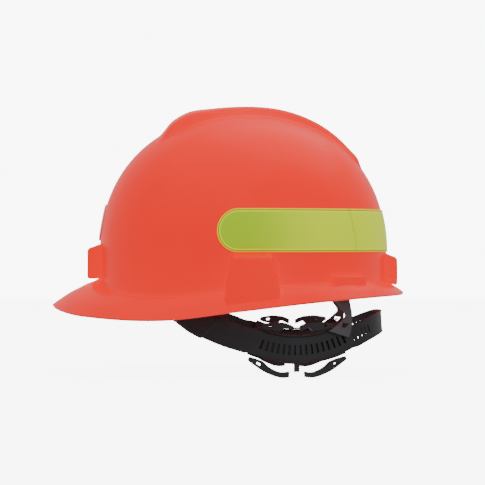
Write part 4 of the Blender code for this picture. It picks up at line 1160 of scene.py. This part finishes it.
@dataclass
class Hangers:
    """Four plastic hangers that plug into the shell and carry the headband and the crown straps."""

    shell: Shell
    band: Band
    thickness: float = 2.0 * MM
    hook_turn: float = 38.5
    hook_gap: float = 1.55 * MM
    eye_gap: float = 1.65 * MM
    top: Knots = ((31.0, 11.0), (21.6, 11.0), (20.6, 10.6), (17.6, 10.6), (15.8, 8.0))
    foot: Sequence[tuple[float, float, float, float]] = (
        (79.0, 3.6, 84.2, 3.2), (76.0, -1.6, 84.0, -3.0), (70.0, -6.8, 83.4, -9.4), (65.4, -9.6, 81.6, -15.0))

    def rows(self, rear: bool) -> tuple[Array, Array]:
        """Middle points and half-width vectors down the left hanger's plate."""
        spot, normal, tangent = self.shell.frame_at(self.shell.quarter_angles[rear], 1)
        seat = spot - normal * self.shell.tongue_back
        rows = [(seat + [0, 0, z * MM], tangent * w * MM) for z, w in self.top]
        if rear:
            for front_y, front_z, rear_y, rear_z in self.foot:
                y = np.array([front_y, rear_y]) * MM
                slope = (self.band.arm_x(y - MM) - self.band.arm_x(y + MM)) / (2 * MM)
                x = self.band.arm_x(y) + (self.band.thickness / 2 + self.eye_gap) * np.hypot(1, slope)
                ends = np.stack([x, y, np.array([front_z, rear_z]) * MM], axis=1)
                rows.append((ends.mean(axis=0), (ends[1] - ends[0]) / 2))
            return np.array([r[0] for r in rows]), np.array([r[1] for r in rows])
        hook = self.band.brow(self.hook_turn, 0.0, self.band.thickness / 2 + self.hook_gap)
        out = unit(self.band.brow(self.hook_turn, 0.0, 1.0) - self.band.brow(self.hook_turn, 0.0, 0.0))
        along = np.array([-out[1], out[0], 0])
        hook = hook * [1, 1, 0]
        rows = rows[:4] + [(seat - normal * 1.5 * MM + [0, 0, 14.4 * MM], tangent * 8 * MM),
                           (hook + [0, 0, 13.6 * MM] + out * 3.5 * MM, along * 6 * MM)]
        rows += [(hook + [0, 0, z * MM], along * w * MM) for z, w in ((15.6, 6.0), (19.0, 6.0), (23.0, 4.5))]
        return np.array([r[0] for r in rows]), np.array([r[1] for r in rows])

    def build(self, finish: bpy.types.Material) -> None:
        """Build the four hangers."""
        steps = 5
        for rear, word in ((False, "front"), (True, "rear")):
            middles, halves = self.rows(rear)
            middles, halves = refined(middles, steps), refined(halves, steps)
            row = np.arange(len(middles)) / steps
            inner = np.where((row > 5.5) & (row < 7.5) & rear, 0.62 - 0.55 * np.clip(row - 6.1, 0, 1), 0.78)
            half = [0 * row, inner, (1 + inner) / 2, 1 + 0 * row]
            shares = np.stack([-share for share in half[:0:-1]] + half, axis=1)
            grid = middles[:, None] + halves[:, None] * shares[..., None]
            keep = np.ones((len(row) - 1, 6), dtype=bool)
            keep[2 * steps:3 * steps, 2:4] = False
            if rear:
                keep[6 * steps + 1:7 * steps - 1, 2:4] = False
            for side, hand in ((1, "left"), (-1, "right")):
                node = f"{word}_{hand}_hanger"
                thing = surface(node + "_form", grid * [side, 1, 1], keep=keep, sharp=60.0)
                thicken(thing, self.thickness)
                soften(thing, 0.35 * MM, segments=3)
                set_in(thing, finish, nodes=[node])


@dataclass
class CrownStraps:
    """Two webbing straps crossing under the crown, with their ends doubled back and sewn."""

    shell: Shell
    half_width: float = 8.0 * MM
    thickness: float = 1.2 * MM
    apex_z: float = 132.0 * MM
    crossing: float = 2.2 * MM
    exponent: float = 2.3
    springing_z: float = 24.0 * MM
    arch_steps: int = 12
    sewn: tuple[int, int] = (44, 47)

    def path(self, drop: float) -> tuple[Array, Array]:
        """Middle points and width directions from one hanger, over the crown, to the far one."""
        spot, normal, tangent = self.shell.frame_at(self.shell.quarter_angles[1], 1)
        seat = spot - normal * self.shell.tongue_back
        centre = np.array([0, self.shell.centre_y, 0])
        inner = 1.35 * MM + self.thickness / 2
        reach = seat - normal * (inner + 3.6 * MM) - centre
        ends = ((inner + 0.9 * MM, 14.7), (inner, 17.6), (inner * 0.4, 18.9), (-inner * 0.4, 19.3),
                (-inner - 0.9 * MM, 20.7))
        spots = [seat + normal * out + [0, 0, z * MM] for out, z in ends]
        widths = [tangent] * len(ends)
        across = unit(np.array([-reach[1], reach[0], 0]))
        power = 2 / self.exponent
        for step in range(self.arch_steps):
            rise = math.pi / 2 * step / (self.arch_steps - 1)
            point = centre + reach * max(math.cos(rise), 0.0) ** power
            point[2] = self.springing_z + (self.apex_z - drop - self.springing_z) * math.sin(rise) ** power
            blend = min(step / 3.0, 1.0)
            spots.append(point)
            widths.append(unit(tangent * (1 - blend) + across * blend))
        far = [point * [-1, -1, 1] + 2 * centre for point in spots[-2::-1]]
        return np.array(spots + far), np.array(widths + widths[-2::-1])

    def build(self, finish: bpy.types.Material, thread: bpy.types.Material) -> None:
        """Weave both straps and sew their ends."""
        for node, side, drop in (("crown_strap_upper", 1, 0.0), ("crown_strap_lower", -1, self.crossing)):
            spots, widths = self.path(drop)
            mirror = np.array([side, 1, 1])
            path, across = refined(spots, 7) * mirror, unit(refined(widths, 7) * mirror)
            up = unit(np.cross(unit(np.gradient(path, axis=0)), across))
            strap = rod(node + "_webbing", path, across, up, self.half_width, self.thickness / 2,
                        28, 0.35, uv=True)
            set_in(strap, finish, nodes=[node])
            first, last = self.sewn
            for end in (slice(first, last), slice(len(path) - last, len(path) - first)):
                at, wide, high = path[end], across[end], up[end]
                for i in range(last - first):
                    for face in (-1, 1):
                        line = at[i] + wide[i] * np.linspace(-1, 1, 30)[:, None] * self.half_width * 0.86
                        out = np.broadcast_to(high[i] * face, line.shape)
                        seam = line + out * self.thickness * 0.5
                        row = stitches("bar_tack", seam, out, 1.7 * MM, 0.4 * MM, 0.2 * MM)
                        set_in(row, thread)


# ---------------------------------------------------------------- studio

class View(Enum):
    """The camera's direction round the helmet, in degrees."""

    AZIMUTH = 90.0
    ELEVATION = 0.0


@dataclass
class Studio:
    """Pale floor and backdrop, soft lights and the camera."""

    aim: tuple[float, float, float] = (0.0, -2.0 * MM, 60.0 * MM)
    distance: float = 1.7
    lens: float = 153.5
    sheet_size: float = 8.0
    backdrop_x: float = -2.2
    floor_glow: float = 7.0
    backdrop_glow: float = 8.0
    air: float = 0.75
    lights: Sequence[tuple[str, tuple[float, float, float], float, float]] = (
        ("key", (0.9, -0.6, 1.6), 2.4, 10.0), ("fill", (1.6, 0.9, 0.3), 2.0, 5.0),
        ("top", (-0.3, 0.5, 1.5), 1.6, 10.0))

    def plane(self, name: str, size: float, place: tuple[float, float, float],
              lean: float) -> bpy.types.Object:
        """Square of the studio, built in place."""
        half = size / 2
        corners = np.array([(-half, -half, 0), (half, -half, 0), (half, half, 0), (-half, half, 0)])
        turn = math.radians(lean)
        across = corners[:, 0]
        corners = np.stack([across * math.cos(turn), corners[:, 1], -across * math.sin(turn)], axis=1)
        return new_object(name, corners + place, [[0, 1, 2, 3]])

    def light(self, name: str, place: tuple[float, float, float], size: float, power: float) -> None:
        """Soft square light that points at the helmet."""
        lamp = bpy.data.lights.new(name, "AREA")
        lamp.size = size
        lamp.energy = power
        thing = bpy.data.objects.new(name, lamp)
        thing.location = place
        thing.rotation_euler = (Vector(self.aim) - Vector(place)).to_track_quat("-Z", "Y").to_euler()
        bpy.context.scene.collection.objects.link(thing)

    def build(self) -> None:
        """Set the studio round the helmet."""
        floor_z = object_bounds()[0].z - 0.5 * MM
        for name, place, lean, glow in (("floor", (0, 0, floor_z), 0.0, self.floor_glow),
                                        ("backdrop", (self.backdrop_x, 0, 0), 90.0, self.backdrop_glow)):
            s = Shader("studio_" + name)
            finish = s.finish(Base_Color=(0.93, 0.93, 0.93), Roughness=0.8 + s.noise(3.0) * 0.1,
                              Specular_IOR_Level=0.1, Emission_Color=(1.0, 1.0, 1.0), Emission_Strength=glow)
            sheet = self.plane(name, self.sheet_size, place, lean)
            sheet.data.materials.append(finish)
            sheet.visible_diffuse = False
            sheet.visible_glossy = False
            sheet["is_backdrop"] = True
        scene = bpy.context.scene
        world = bpy.data.worlds.new("studio_air")
        world.use_nodes = True
        air = world.node_tree.nodes["Background"].inputs
        air["Color"].default_value = (1.0, 1.0, 1.0, 1.0)
        air["Strength"].default_value = self.air
        scene.world = world
        for name, place, size, power in self.lights:
            self.light(name, place, size, power)
        turn, rise = math.radians(View.AZIMUTH.value), math.radians(View.ELEVATION.value)
        back = Vector((math.sin(turn) * math.cos(rise), -math.cos(turn) * math.cos(rise), math.sin(rise)))
        camera = bpy.data.objects.new("camera", bpy.data.cameras.new("camera"))
        camera.data.lens = self.lens
        camera.location = Vector(self.aim) + back * self.distance
        camera.rotation_euler = (-back).to_track_quat("-Z", "Y").to_euler()
        scene.collection.objects.link(camera)
        scene.camera = camera


def main() -> None:
    """Build every sub-assembly in turn, then the studio."""
    logging.basicConfig(level=logging.INFO, format="%(message)s")
    black = HarnessPlastic().make()
    grey = HarnessPlastic("hanger_plastic", (0.050, 0.050, 0.054), (0.082, 0.082, 0.088), 0.40).make()
    cloth, webbing = BrowCloth().make(), Webbing().make()
    thread = HarnessPlastic("thread", (0.030, 0.030, 0.034), (0.060, 0.060, 0.066), 0.7).make()
    shell, band = Shell(), Band()
    shell.build(ShellPlastic().make())
    Tape(shell).build(ReflectiveTape().make())
    Badges(shell).build(BadgePlastic("badge", (0.74, 0.74, 0.71)).make(),
                        BadgePlastic("label", (0.52, 0.52, 0.52), 0.45).make())
    band.build(black)
    NapeStrap(band).build(black)
    Sweatband(band).build(cloth, thread)
    Adjuster(band).build(black)
    Hangers(shell, band).build(grey)
    CrownStraps(shell).build(webbing, thread)
    Studio().build()


if __name__ == "__main__":
    main()
